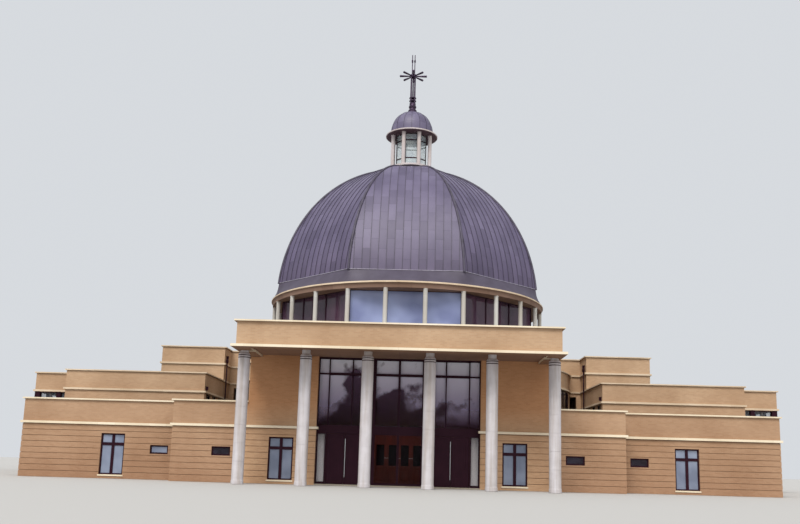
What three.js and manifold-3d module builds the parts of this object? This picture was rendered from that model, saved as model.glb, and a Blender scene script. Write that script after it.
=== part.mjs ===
// Modern church building: a domed rotunda behind a tall flat-roofed portico,
// with low stepped wings of banded brick on both sides.
// Every size below is the real building's, in millimetres; the group at the end
// brings it to its 1:2 scale model. +Z is up, the entrance front faces -Y, and
// "left" and "right" are as seen by someone who faces that front (right is +X).
// The origin is on the ground, under the middle of the dome.

import * as THREE from 'three';
import { mergeVertices } from 'three/addons/utils/BufferGeometryUtils.js';
import Module from 'manifold-3d';

const wasm = await Module();
wasm.setup();

// Driving dimensions

const MODEL_SCALE = 0.5;
const SEAT = 0.8; // gap that touching pieces keep: 0.4 mm on the model
const RUN = 14; // running gap round a door leaf: 7 mm on the model
const BITE = 5; // how far a cutter runs past a face that it cuts

const WALL = 330; // cavity wall of two brick leaves
const SLAB = 200;
const FLOOR = 60;

// Plan: distances from the middle of the dome
const PORTICO_FACE = -25450;
const COLUMN_LINE = -23820;
const FRONT = -21430; // face of the portico's back wall and of the inner wings
const WING_FRONT = -19810; // face of the outer wings
const TRANSEPT_FRONT = -10000;
const TRANSEPT_END_FRONT = -7400;
const UPPER_FRONT = -4720;
const LINK_FRONT = -2610;

const ENTRANCE_HALF = 4140;
const PORTICO_HALF = 7610;
const INNER_WING = 11410;
const OUTER_WING = 19740;
const TRANSEPT_INNER = 12650;
const TRANSEPT_OUTER = 21590;
const TRANSEPT_END = 24640;
const UPPER_OUTER = 17060;

// Levels: the middle of each thin stone line, from the ground up
const STRING_1 = 2820;
const COPING_1 = 4058;
const STRING_2 = 5364;
const COPING_2 = 6566;
const STRING_3 = 7747;
const COPING_3 = 8918;
const PORTICO_SOFFIT = 6330;
const PORTICO_COPING = 7583;
const STRING_HEIGHT = 120;
const COPING_HEIGHT = 75;
const STONE_REACH = 100; // how far strings and copings stand out from the brick
const COPING_BACK = 40; // how far a coping stands in behind its wall
const LOW_PARAPET = 120; // from a low roof up to the top of the wall round it
const HIGH_PARAPET = 280;
const PORTICO_BAND_REACH = 220;

// Openings in the ground storey
const TALL_WINDOW = { width: 1250, sill: 200, head: 2320 };
const SMALL_WINDOW = { width: 950, sill: 1320, head: 1770 };
const FRONT_TALL = [5870];
const FRONT_SMALL = [8880];
const WING_TALL = [14920];
const WING_SMALL = [12470];
const SIDE_TALL = [-17300, -12600];
const END_TALL = [-3600, 0, 3600];
const REAR_TALL = [5870];
const GLASS_DEPTH = 150; // from the brick face to the pane
const GLASS = 24;
const CAVITY = 60;
const PANE_EDGE = 60; // how far a pane runs into the wall past its opening
const PANE_END = 900; // from a wall's end, or an end window's middle, to the pane's edge

// High windows under the fascias
const HIGH_SILL = 4180;
const HIGH_HEAD_GAP = 20; // from a high window's head to the stone line over it
const HIGH_POST = 260;
const END_LIGHTS = 8;
const RETURN_LIGHTS = 2;
const RETURN_LIGHTS_START = 21790;
const INNER_LIGHTS = { middle: 6150, half: 3300, count: 4 };
const ROTUNDA_LIGHT = 2700; // width of each high window in the rotunda
const ROTUNDA_LIGHTS_FROM = 45; // degrees from the front that the foyer covers

// Rotunda, drum and dome
const ROTUNDA = 12130;
const ROTUNDA_SIDES = 48;
const ROTUNDA_BAY = 15; // degrees between high windows
const ROTUNDA_OPENING = 35; // degrees of each opening at floor level
const ROTUNDA_OPENING_HEAD = 3450;
const ROTUNDA_ROOF_TOP = 7450;
const DRUM_WALL = 10200;
const DRUM_SILL = 9000;
const DRUM_COLUMN_CIRCLE = 9960;
const DRUM_COLUMN_RADIUS = 145;
const DRUM_COLUMNS = 24;
const DRUM_SILL_HEIGHT = 120;
const DRUM_SILL_REACH = 60;
const DRUM_HEAD = 12450;
const DRUM_DECK_INNER = 8750;
const DRUM_GLASS_CORNER = 9640;
const CORNICE_STEPS = { foot: -90, cove: -50, lip: 20, edge: -60 }; // from the drum wall's face
const CORNICE_LEVELS = { cove: 160, lip: 280, edge: 40 };
const CORNICE_TOP = 12900;
const DOME_CORNER = 10050;
const DOME_RISE = 11150;
const DOME_CENTRE = 12590;
const DOME_BASE = 13800;
const DOME_TOP = 23560;
const DOME_SHELL = 300;
const DOME_EYE = 1250;
const DOME_STEPS = 14;
const DOME_INSIDE_STEPS = 12;
const DOME_EYE_SIDES = 16;
const OCTAGON = 8;
const POST_SIDES = 8;

// Lantern and cross
const LANTERN_BASE = 23900;
const LANTERN_HEAD = 26480;
const LANTERN_COLUMN_CIRCLE = 1550;
const LANTERN_DECK = 1720;
const LANTERN_DECK_HEIGHT = 150;
const LANTERN_NECK = 1500;
const LANTERN_OPENING = 950;
const LANTERN_GLASS_CORNER = 1120;
const LANTERN_CORNICE = { radius: 2030, edge: 60, lip: 50, face: 120, height: 160 };
const LANTERN_SIDES = 24;
const LANTERN_DOME_RADIUS = 1625;
const LANTERN_DOME_SHELL = 120;
const LANTERN_DOME_CENTRE = 27000;
const LANTERN_DOME_SIDES = 16;
const LANTERN_DOME_STEPS = 6;
const LANTERN_TOP = 28550;
const CROSS_HUB = 31720;
const CROSS_TOP = 33500;
const CROSS_ARM = { length: 1060, start: 60, radius: 42, end: 60 };
const CROSS_SIDES = 12;
const SHAFT_ROD = { circle: 160, radius: 78, start: 700 }; // four rods up to the hub
const TOP_ROD = { circle: 140, radius: 34 }; // and four thin ones above it
const ROD_SIDES = 6;

// Portico
const COLUMN_COUNT = 6;
const COLUMN_SPACING = 3000;
const COLUMN_SIDES = 16;
const COLUMN = { radius: 285, base: 300, baseTop: 190, neck: 202, neckLow: 6290 };
const COLUMN_GROOVE = { depth: 27, half: 20, lower: 6005, upper: 6116 };
const BEAM_HALF = 250;
const BEAM_TOP = 6990;
const CEILING_BOARD = 100;
const BAND_MARGIN = 240; // how far the stone band shows as a margin round the ceiling
const FASCIA_COPING_REACH = 130;

// Entrance screen
const SCREEN_FACE = -21150;
const SCREEN_DEPTH = 100;
const CEILING = 6450;
const SCREEN_TRANSOM = 5600;
const SPANDREL_LOW = 2580;
const SPANDREL_HIGH = 2980;
const POST_INNER = 1200;
const POST_OUTER = 1800;
const DOOR_OUTER = 3610;
const MULLION = 60;
const OUTER_MULLION = 2390; // middle of the mullion over each pair of doors
const TRANSOM_HALF = 40;
const RAIL = 90; // height of the top rail and of the bottom rails
const LEAF_DEPTH = 50;
const LEAF_INSET = 20;
const HINGE_GAP = 20; // wider than RUN, so that the leaf's back corner turns clear of its jamb
const HINGE_INSET = 30; // from the leaf's edge to its pivot
const PIVOT_RADIUS = 12;
const PULL = { inset: 45, reach: 75, radius: 17, arm: 12, low: 420, high: 2330, armLow: 600, armHigh: 2150 };

// Lobby screen inside the entrance
const LOBBY_FACE = -18150;
const LOBBY_DEPTH = 60;
const LOBBY_HALF = 2100;
const LOBBY_HEAD = 2700;
const LOBBY_LIGHTS = { count: 6, spacing: 660, half: 210, low: 1050, high: 2150 };

// Materials

const finish = (color, roughness, metalness = 0) =>
  new THREE.MeshStandardMaterial({ color, roughness, metalness });
const brick = () => finish(0xc9a074, 0.9);
const stone = () => finish(0xe2d6c2, 0.75);
const castStone = () => finish(0xcdc6bd, 0.7);
const lead = () => finish(0x6f667a, 0.55, 0.3);
const roofing = () => finish(0x77746f, 0.9);
const darkFrame = () => finish(0x2b1a20, 0.4, 0.4);
const plaster = () => finish(0xcdb89c, 0.85);
const flooring = () => finish(0x9b948a, 0.8);
const timber = () => finish(0x6a3a26, 0.5);
const bronze = () => finish(0x3a3038, 0.45, 0.7);
const glazing = () => {
  const material = finish(0x8195a8, 0.1);
  material.transparent = true;
  material.opacity = 0.45;
  return material;
};

// Solids from three.js geometry

function volumeOf(position, index) {
  const a = new THREE.Vector3();
  const b = new THREE.Vector3();
  const c = new THREE.Vector3();
  let sum = 0;
  for (let i = 0; i < index.length; i += 3) {
    a.fromBufferAttribute(position, index[i]);
    b.fromBufferAttribute(position, index[i + 1]);
    c.fromBufferAttribute(position, index[i + 2]);
    sum += a.dot(b.cross(c));
  }
  return sum / 6;
}

function solid(source) {
  const bare = source.clone();
  bare.deleteAttribute('normal');
  bare.deleteAttribute('uv');
  const merged = mergeVertices(bare, 1e-3);
  const index = [];
  const all = merged.index.array;
  for (let i = 0; i < all.length; i += 3) {
    const [a, b, c] = [all[i], all[i + 1], all[i + 2]];
    if (a !== b && b !== c && c !== a) index.push(a, b, c);
  }
  if (volumeOf(merged.attributes.position, index) < 0) index.reverse();
  return new wasm.Manifold(
    new wasm.Mesh({
      numProp: 3,
      vertProperties: new Float32Array(merged.attributes.position.array),
      triVerts: new Uint32Array(index),
    }),
  );
}

function box(x0, x1, y0, y1, z0, z1) {
  const geometry = new THREE.BoxGeometry(x1 - x0, y1 - y0, z1 - z0);
  geometry.translate((x0 + x1) / 2, (y0 + y1) / 2, (z0 + z1) / 2);
  return solid(geometry);
}

// The same box on the right and on the left
const acrossBoth = (x0, x1, y0, y1, z0, z1) => [
  box(x0, x1, y0, y1, z0, z1),
  box(-x1, -x0, y0, y1, z0, z1),
];

const toShape = (points) => new THREE.Shape(points.map(([x, y]) => new THREE.Vector2(x, y)));

// A flat plate of any outline, given by its corners in plan
function plate(points, z0, z1, hole) {
  const shape = toShape(points);
  if (hole) shape.holes.push(toShape(hole));
  const geometry = new THREE.ExtrudeGeometry(shape, { depth: z1 - z0, bevelEnabled: false });
  geometry.translate(0, 0, z0);
  return solid(geometry);
}

// A turned solid about the vertical axis, from [radius, height] points; its first corner
// lies half a side away from the -Y direction, so that a flat side faces the front
function turned(profile, sides) {
  const points = profile.map(([r, z]) => new THREE.Vector2(r, z));
  const geometry = new THREE.LatheGeometry(points, sides, Math.PI / sides);
  geometry.rotateX(Math.PI / 2);
  return solid(geometry);
}

const drumOf = (radius, z0, z1, sides) => turned([[0, z0], [radius, z0], [radius, z1], [0, z1]], sides);

function ring(outer, inner, z0, z1, sides) {
  return turned([[inner, z0], [outer, z0], [outer, z1], [inner, z1], [inner, z0]], sides);
}

// Circles are drawn as polygons; this is the corner radius of one whose flat sides
// clear a round piece by `gap`
const around = (radius, gap, sides) => (radius + gap) / Math.cos(Math.PI / sides);

const polar = (radius, degrees) => {
  const angle = THREE.MathUtils.degToRad(degrees);
  return [radius * Math.sin(angle), -radius * Math.cos(angle)];
};

function turnAbout(geometry, degrees) {
  geometry.rotateZ(THREE.MathUtils.degToRad(degrees));
  return geometry;
}

const joined = (parts) => parts.reduce((sum, part) => sum.add(part));
const cutBy = (body, cutters) => cutters.reduce((rest, cutter) => rest.subtract(cutter), body);

// Paths in plan run with the building on their left; a positive offset moves them outwards

function offsetPath(path, distance, closed) {
  const count = path.length;
  const direction = (i) => {
    const from = path[(i + count) % count];
    const to = path[(i + 1 + count) % count];
    const length = Math.hypot(to[0] - from[0], to[1] - from[1]);
    return [(to[0] - from[0]) / length, (to[1] - from[1]) / length];
  };
  return path.map(([x, y], i) => {
    const before = closed || i > 0 ? direction(i - 1) : direction(i);
    const after = closed || i < count - 1 ? direction(i) : before;
    const turn = 1 + before[0] * after[0] + before[1] * after[1];
    const nx = (before[1] + after[1]) / turn;
    const ny = -(before[0] + after[0]) / turn;
    return [x + nx * distance, y + ny * distance];
  });
}

function strip(path, outer, inner, z0, z1) {
  return plate([...offsetPath(path, outer), ...offsetPath(path, inner).reverse()], z0, z1);
}

function loop(path, outer, inner, z0, z1) {
  return plate(offsetPath(path, outer, true), z0, z1, offsetPath(path, inner, true));
}

const mirrorPath = (path) => path.map(([x, y]) => [-x, y]).reverse();
const backPath = (path) => path.map(([x, y]) => [x, -y]).reverse();

// The scene graph

const building = new THREE.Group();
building.scale.setScalar(MODEL_SCALE);

function geometryOf(body) {
  const mesh = body.getMesh();
  const geometry = new THREE.BufferGeometry();
  geometry.setAttribute('position', new THREE.BufferAttribute(new Float32Array(mesh.vertProperties), 3));
  geometry.setIndex(new THREE.BufferAttribute(new Uint32Array(mesh.triVerts), 1));
  return geometry;
}

function addMesh(name, geometry, material) {
  const mesh = new THREE.Mesh(geometry, material);
  mesh.name = name;
  building.add(mesh);
}

const add = (name, body, material) => addMesh(name, geometryOf(body), material);

// Adds a right-hand piece and its mirror image on the left
function addPair(name, body, material) {
  const right = geometryOf(body);
  const left = right.clone();
  left.scale(-1, 1, 1);
  left.index.array.reverse();
  addMesh(`${name}_right`, right, material);
  addMesh(`${name}_left`, left, material);
}

// Outlines in plan, each along the brick face

const frontPath = [
  [ENTRANCE_HALF, FRONT],
  [INNER_WING, FRONT],
  [INNER_WING, WING_FRONT],
  [OUTER_WING, WING_FRONT],
  [OUTER_WING, TRANSEPT_FRONT - SEAT],
];
const wingPath = [[PORTICO_HALF + SEAT, FRONT], ...frontPath.slice(1)];
const transeptFrontPath = [
  [TRANSEPT_OUTER, TRANSEPT_FRONT],
  [TRANSEPT_OUTER, TRANSEPT_END_FRONT],
  [TRANSEPT_END, TRANSEPT_END_FRONT],
];
const transeptPath = [
  [TRANSEPT_INNER, TRANSEPT_FRONT],
  ...transeptFrontPath,
  ...backPath(transeptFrontPath),
  [TRANSEPT_INNER, -TRANSEPT_FRONT],
];
const rearPath = [
  [OUTER_WING, -TRANSEPT_FRONT + SEAT],
  [OUTER_WING, -WING_FRONT],
  [INNER_WING, -WING_FRONT],
  [INNER_WING, -FRONT],
  [-INNER_WING, -FRONT],
  [-INNER_WING, -WING_FRONT],
  [-OUTER_WING, -WING_FRONT],
  [-OUTER_WING, -TRANSEPT_FRONT + SEAT],
];
const rightOutline = [
  [INNER_WING, FRONT],
  [INNER_WING, WING_FRONT],
  [OUTER_WING, WING_FRONT],
  [OUTER_WING, TRANSEPT_FRONT],
  ...transeptFrontPath,
];
const wholeRight = [...rightOutline, ...backPath(rightOutline)];
const outline = [...wholeRight, ...mirrorPath(wholeRight)];
const upperPath = [
  [DRUM_WALL - WALL, LINK_FRONT],
  [TRANSEPT_INNER, LINK_FRONT],
  [TRANSEPT_INNER, UPPER_FRONT],
  [UPPER_OUTER, UPPER_FRONT],
  [UPPER_OUTER, -UPPER_FRONT],
  [TRANSEPT_INNER, -UPPER_FRONT],
  [TRANSEPT_INNER, -LINK_FRONT],
  [DRUM_WALL - WALL, -LINK_FRONT],
];
const foyerPath = [
  [-PORTICO_HALF, -ROTUNDA / 2],
  [-PORTICO_HALF, PORTICO_FACE],
  [PORTICO_HALF, PORTICO_FACE],
  [PORTICO_HALF, -ROTUNDA / 2],
];

const wallTop = (coping) => coping - COPING_HEIGHT / 2 - SEAT;
const lowRoofTop = wallTop(COPING_1) - LOW_PARAPET;
const transeptRoofTop = wallTop(COPING_2) - HIGH_PARAPET;
const upperRoofTop = wallTop(COPING_3) - HIGH_PARAPET;
const stringLow = (level) => level - STRING_HEIGHT / 2;
const stringHigh = (level) => level + STRING_HEIGHT / 2;
const rotundaClear = around(ROTUNDA, SEAT, ROTUNDA_SIDES);
const linkClear = around(ROTUNDA + STONE_REACH, RUN, ROTUNDA_SIDES);

// Cuts that walls share

const cavity = (path, z0, z1, make = strip) =>
  make(path, -GLASS_DEPTH + CAVITY / 2, -GLASS_DEPTH - CAVITY / 2, z0, z1);
const sheet = (path, z0, z1, make = strip) =>
  make(path, -GLASS_DEPTH + GLASS / 2, -GLASS_DEPTH - GLASS / 2, z0, z1);

// A window in a wall that faces -Y or +Y (face is the brick face), then one that faces +X
function windowAcross(kind, x, face) {
  const back = face < 0 ? face + WALL : face - WALL;
  const [y0, y1] = [Math.min(face, back) - BITE, Math.max(face, back) + BITE];
  return box(x - kind.width / 2, x + kind.width / 2, y0, y1, kind.sill, kind.head);
}

function windowAlong(kind, y, face) {
  return box(face - WALL - BITE, face + BITE, y - kind.width / 2, y + kind.width / 2, kind.sill, kind.head);
}

// Ground storey: floor and walls

const threshold = box(
  -ENTRANCE_HALF + SEAT, ENTRANCE_HALF - SEAT, FRONT, FRONT + WALL + BITE, 0, FLOOR,
);
add('ground_floor', plate(offsetPath(outline, -WALL - SEAT, true), 0, FLOOR).add(threshold), flooring());

const paneLow = TALL_WINDOW.sill - PANE_EDGE;
const paneHigh = TALL_WINDOW.head + PANE_EDGE;
const panePath = [
  [ENTRANCE_HALF + PANE_END, FRONT],
  ...frontPath.slice(1, 4),
  [OUTER_WING, TRANSEPT_FRONT - PANE_END],
];

const frontWindows = [
  ...FRONT_TALL.map((x) => windowAcross(TALL_WINDOW, x, FRONT)),
  ...FRONT_SMALL.map((x) => windowAcross(SMALL_WINDOW, x, FRONT)),
  ...WING_TALL.map((x) => windowAcross(TALL_WINDOW, x, WING_FRONT)),
  ...WING_SMALL.map((x) => windowAcross(SMALL_WINDOW, x, WING_FRONT)),
  ...SIDE_TALL.map((y) => windowAlong(TALL_WINDOW, y, OUTER_WING)),
];
const porticoWall = box(ENTRANCE_HALF, PORTICO_HALF, FRONT, FRONT + WALL, 0, CEILING - SEAT);
addPair(
  'front_wall',
  cutBy(strip(frontPath, 0, -WALL, 0, wallTop(COPING_1)).add(porticoWall), [
    ...frontWindows,
    cavity(panePath, paneLow - SEAT, paneHigh + SEAT),
  ]),
  brick(),
);
// The same path with its two ends moved, so that a pane is a little shorter than its slot
const paneEnds = ([first, ...rest], [x0, y0, x1, y1]) => {
  const last = rest.pop();
  return [[first[0] + x0, first[1] + y0], ...rest, [last[0] + x1, last[1] + y1]];
};
addPair('front_glass', sheet(paneEnds(panePath, [SEAT, 0, 0, -SEAT]), paneLow, paneHigh), glazing());

const rearPane = rearPath.map(([x, y]) => [x, Math.max(y, -TRANSEPT_FRONT + PANE_END)]);
const rearWindows = [-1, 1].flatMap((side) => [
  ...REAR_TALL.map((x) => windowAcross(TALL_WINDOW, side * x, -FRONT)),
  ...FRONT_SMALL.map((x) => windowAcross(SMALL_WINDOW, side * x, -FRONT)),
  ...WING_TALL.map((x) => windowAcross(TALL_WINDOW, side * x, -WING_FRONT)),
  ...WING_SMALL.map((x) => windowAcross(SMALL_WINDOW, side * x, -WING_FRONT)),
  ...SIDE_TALL.map((y) => windowAlong(TALL_WINDOW, -y, side > 0 ? OUTER_WING : -OUTER_WING + WALL)),
]);
add(
  'rear_wall',
  cutBy(strip(rearPath, 0, -WALL, 0, wallTop(COPING_1)), [
    ...rearWindows,
    cavity(rearPane, paneLow - SEAT, paneHigh + SEAT),
  ]),
  brick(),
);
add('rear_glass', sheet(paneEnds(rearPane, [0, SEAT, 0, SEAT]), paneLow, paneHigh), glazing());

// Transepts: brick boxes beside the rotunda, their ends stepped out and lit by a strip of high windows

const highHead = stringLow(STRING_2) - HIGH_HEAD_GAP;

// Starts and ends of a row of equal windows that fills the stretch from one place to another
function lightsBetween(from, to, count) {
  const pitch = (to - from + HIGH_POST) / count;
  return Array.from({ length: count }, (_, i) => [from + pitch * i, from + pitch * (i + 1) - HIGH_POST]);
}

const highWindowsAlong = (face, from, to, count) => lightsBetween(from, to, count).map(([y0, y1]) =>
  box(face - WALL - BITE, face + WALL + BITE, y0, y1, HIGH_SILL, highHead));

const highWindowsAcross = (face, from, to, count) => lightsBetween(from, to, count).map(([x0, x1]) =>
  box(x0, x1, face - WALL - BITE, face + WALL + BITE, HIGH_SILL, highHead));

const endPane = [[TRANSEPT_END, END_TALL[0] - PANE_END], [TRANSEPT_END, END_TALL[2] + PANE_END]];
const transeptHollow = [
  cavity(transeptPath, HIGH_SILL - PANE_EDGE - SEAT, highHead + PANE_EDGE + SEAT, loop),
  cavity(endPane, paneLow - SEAT, HIGH_SILL),
];
const transeptWall = cutBy(loop(transeptPath, 0, -WALL, 0, wallTop(COPING_2)), [
  box(TRANSEPT_INNER - BITE, OUTER_WING - WALL, TRANSEPT_FRONT - BITE, -TRANSEPT_FRONT + BITE,
    -BITE, lowRoofTop + SEAT),
  box(TRANSEPT_INNER - BITE, TRANSEPT_INNER + WALL + BITE, UPPER_FRONT - SEAT, -UPPER_FRONT + SEAT,
    transeptRoofTop, COPING_2),
  ...highWindowsAlong(TRANSEPT_END, TRANSEPT_END_FRONT + WALL, -TRANSEPT_END_FRONT - WALL, END_LIGHTS),
  ...[-1, 1].flatMap((side) => [
    ...highWindowsAcross(
      side * (TRANSEPT_END_FRONT + WALL / 2), RETURN_LIGHTS_START, TRANSEPT_END - WALL, RETURN_LIGHTS,
    ),
    ...highWindowsAlong(
      TRANSEPT_INNER + WALL / 2, side * INNER_LIGHTS.middle - INNER_LIGHTS.half,
      side * INNER_LIGHTS.middle + INNER_LIGHTS.half, INNER_LIGHTS.count,
    ),
  ]),
  ...END_TALL.map((y) => windowAlong(TALL_WINDOW, y, TRANSEPT_END)),
  ...transeptHollow,
]);
// The end that steps out is a piece of its own, from the corner where the step starts
const stepOut = (from) => box(from, TRANSEPT_END + BITE, TRANSEPT_FRONT, -TRANSEPT_FRONT, -BITE, COPING_2);
addPair('transept_wall', transeptWall.subtract(stepOut(TRANSEPT_OUTER)), brick());
addPair('transept_end_wall', transeptWall.intersect(stepOut(TRANSEPT_OUTER + SEAT)), brick());
addPair(
  'transept_glass',
  sheet(transeptPath, HIGH_SILL - PANE_EDGE, highHead + PANE_EDGE, loop).add(
    sheet(paneEnds(endPane, [0, SEAT, 0, -SEAT]), paneLow, HIGH_SILL),
  ),
  glazing(),
);

// Upper blocks, and the links that join them to the drum

const linkCut = [
  drumOf(linkClear, transeptRoofTop - BITE, ROTUNDA_ROOF_TOP + SEAT, ROTUNDA_SIDES),
  ring(
    linkClear, around(ROTUNDA - WALL - STONE_REACH, -RUN, ROTUNDA_SIDES), ROTUNDA_ROOF_TOP - BITE,
    STRING_3 + COPING_HEIGHT / 2 + RUN, ROTUNDA_SIDES,
  ),
  drumOf(around(DRUM_WALL, SEAT, ROTUNDA_SIDES), transeptRoofTop - BITE, COPING_3 + BITE, ROTUNDA_SIDES),
];
const linkPier = box(
  TRANSEPT_INNER - WALL, TRANSEPT_INNER - SEAT, LINK_FRONT, LINK_FRONT + WALL, lowRoofTop + SEAT,
  transeptRoofTop + BITE,
);
addPair(
  'upper_wall',
  cutBy(strip(upperPath, 0, -WALL, transeptRoofTop + SEAT, wallTop(COPING_3)), linkCut)
    .add(linkPier)
    .add(linkPier.mirror([0, 1, 0])),
  brick(),
);

// Flat roofs behind their parapets

const transeptHoles = acrossBoth(
  TRANSEPT_INNER + WALL, OUTER_WING, TRANSEPT_FRONT + WALL, -TRANSEPT_FRONT - WALL, lowRoofTop - SLAB - BITE,
  lowRoofTop + BITE,
);
const lowRoofOutline = [
  [PORTICO_HALF - WALL, FRONT + WALL + SEAT],
  [INNER_WING - WALL - SEAT, FRONT + WALL + SEAT],
  [INNER_WING - WALL - SEAT, WING_FRONT + WALL + SEAT],
  [OUTER_WING - WALL - SEAT, WING_FRONT + WALL + SEAT],
  [OUTER_WING - WALL - SEAT, -WING_FRONT - WALL - SEAT],
  [INNER_WING - WALL - SEAT, -WING_FRONT - WALL - SEAT],
  [INNER_WING - WALL - SEAT, -FRONT - WALL - SEAT],
];
add(
  'low_roof',
  cutBy(plate([...lowRoofOutline, ...mirrorPath(lowRoofOutline)], lowRoofTop - SLAB, lowRoofTop), [
    drumOf(rotundaClear, 0, COPING_2, ROTUNDA_SIDES),
    ...transeptHoles,
    box(-PORTICO_HALF + WALL, PORTICO_HALF - WALL, FRONT, 0, 0, COPING_1),
  ]),
  roofing(),
);
addPair(
  'transept_roof',
  plate(offsetPath(transeptPath, -WALL - SEAT, true), transeptRoofTop - SLAB, transeptRoofTop),
  roofing(),
);
addPair(
  'upper_roof',
  plate(offsetPath(upperPath, -WALL - SEAT, true), upperRoofTop - SLAB, upperRoofTop).subtract(
    drumOf(around(DRUM_WALL, SEAT, ROTUNDA_SIDES), 0, COPING_3, ROTUNDA_SIDES),
  ),
  roofing(),
);

// Rotunda: a round wall on piers, with high windows between the low roofs and its fascia

function rotundaCut(degrees, width, z0, z1) {
  const geometry = new THREE.BoxGeometry(width, WALL * 8, z1 - z0);
  geometry.translate(0, -ROTUNDA, (z0 + z1) / 2);
  return solid(turnAbout(geometry, degrees));
}

const openingWidth = 2 * ROTUNDA * Math.sin(THREE.MathUtils.degToRad(ROTUNDA_OPENING / 2));
const rotundaPasses = Array.from({ length: OCTAGON }, (_, i) =>
  rotundaCut((360 / OCTAGON) * i, openingWidth, 0, ROTUNDA_OPENING_HEAD));
const rotundaWindowAngles = [];
for (let angle = ROTUNDA_BAY / 2; angle < 360; angle += ROTUNDA_BAY) {
  const fromFront = Math.min(angle, 360 - angle);
  const besideTransept = Math.abs(fromFront - 90) < ROTUNDA_BAY;
  if (fromFront > ROTUNDA_LIGHTS_FROM && !besideTransept) rotundaWindowAngles.push(angle);
}
const rotundaHead = stringLow(COPING_2) - HIGH_HEAD_GAP;
const rotundaWindows = rotundaWindowAngles.map((angle) =>
  rotundaCut(angle, ROTUNDA_LIGHT, HIGH_SILL, rotundaHead));
const paneCircle = ROTUNDA - GLASS_DEPTH;
add(
  'rotunda_wall',
  cutBy(ring(ROTUNDA, ROTUNDA - WALL, FLOOR + SEAT, wallTop(STRING_3), ROTUNDA_SIDES), [
    ...rotundaPasses,
    ...rotundaWindows,
    ring(
      paneCircle + CAVITY / 2, paneCircle - CAVITY / 2, HIGH_SILL - PANE_EDGE, rotundaHead + PANE_EDGE,
      ROTUNDA_SIDES,
    ),
  ]),
  brick(),
);
add(
  'rotunda_glass',
  ring(
    paneCircle + GLASS / 2, paneCircle - GLASS / 2, HIGH_SILL - PANE_EDGE + SEAT,
    rotundaHead + PANE_EDGE - SEAT, ROTUNDA_SIDES,
  ),
  glazing(),
);
add(
  'rotunda_roof',
  ring(ROTUNDA - WALL - SEAT, DRUM_WALL - WALL, ROTUNDA_ROOF_TOP - SLAB, ROTUNDA_ROOF_TOP, ROTUNDA_SIDES),
  roofing(),
);

// Drum: low brick wall, stone sill, ring of columns, octagonal glazing and stone cornice

add(
  'drum_wall',
  ring(DRUM_WALL, DRUM_WALL - WALL, ROTUNDA_ROOF_TOP + SEAT, DRUM_SILL - SEAT, ROTUNDA_SIDES),
  brick(),
);

function postRing(circle, radius, count, z0, z1, sides) {
  return Array.from({ length: count }, (_, i) => {
    const [x, y] = polar(circle, (360 / count) * (i + 0.5));
    const geometry = new THREE.CylinderGeometry(radius, radius, z1 - z0, sides);
    geometry.rotateX(Math.PI / 2);
    geometry.translate(x, y, (z0 + z1) / 2);
    return solid(geometry);
  });
}

const drumSillTop = DRUM_SILL + DRUM_SILL_HEIGHT;
add(
  'drum_colonnade',
  joined([
    ring(DRUM_WALL + DRUM_SILL_REACH, DRUM_DECK_INNER, DRUM_SILL, drumSillTop, ROTUNDA_SIDES),
    ...postRing(
      DRUM_COLUMN_CIRCLE, DRUM_COLUMN_RADIUS, DRUM_COLUMNS, DRUM_SILL + DRUM_SILL_HEIGHT / 2,
      DRUM_HEAD - SEAT, POST_SIDES,
    ),
  ]),
  stone(),
);
add(
  'drum_glass',
  ring(DRUM_GLASS_CORNER, DRUM_GLASS_CORNER - GLASS, drumSillTop + SEAT, DRUM_HEAD - SEAT, OCTAGON),
  glazing(),
);
add(
  'drum_cornice',
  turned(
    [
      [DRUM_DECK_INNER, DRUM_HEAD],
      [DRUM_WALL + CORNICE_STEPS.foot, DRUM_HEAD],
      [DRUM_WALL + CORNICE_STEPS.cove, DRUM_HEAD + CORNICE_LEVELS.cove],
      [DRUM_WALL + CORNICE_STEPS.lip, DRUM_HEAD + CORNICE_LEVELS.lip],
      [DRUM_WALL + CORNICE_STEPS.lip, CORNICE_TOP - CORNICE_LEVELS.edge],
      [DRUM_WALL + CORNICE_STEPS.edge, CORNICE_TOP],
      [DRUM_DECK_INNER, CORNICE_TOP],
      [DRUM_DECK_INNER, DRUM_HEAD],
    ],
    ROTUNDA_SIDES,
  ),
  stone(),
);

// Dome: eight curved lead-covered faces, with a skirt from the round cornice to the octagon

const domeRadius = (z) => DOME_CORNER * Math.sqrt(1 - ((z - DOME_CENTRE) / DOME_RISE) ** 2);

// The corner rib of the dome, an arc of an ellipse; `shell` sets it in by the roof's thickness
function domeProfile(bottom, top, shell, steps) {
  const across = DOME_CORNER - shell;
  const rise = DOME_RISE - shell;
  const from = Math.asin((bottom - DOME_CENTRE) / rise);
  const to = Math.asin((top - DOME_CENTRE) / rise);
  const points = Array.from({ length: steps + 1 }, (_, i) => {
    const angle = from + ((to - from) * i) / steps;
    return [across * Math.cos(angle), DOME_CENTRE + rise * Math.sin(angle)];
  });
  return [[0, bottom], ...points, [0, top]];
}

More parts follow.
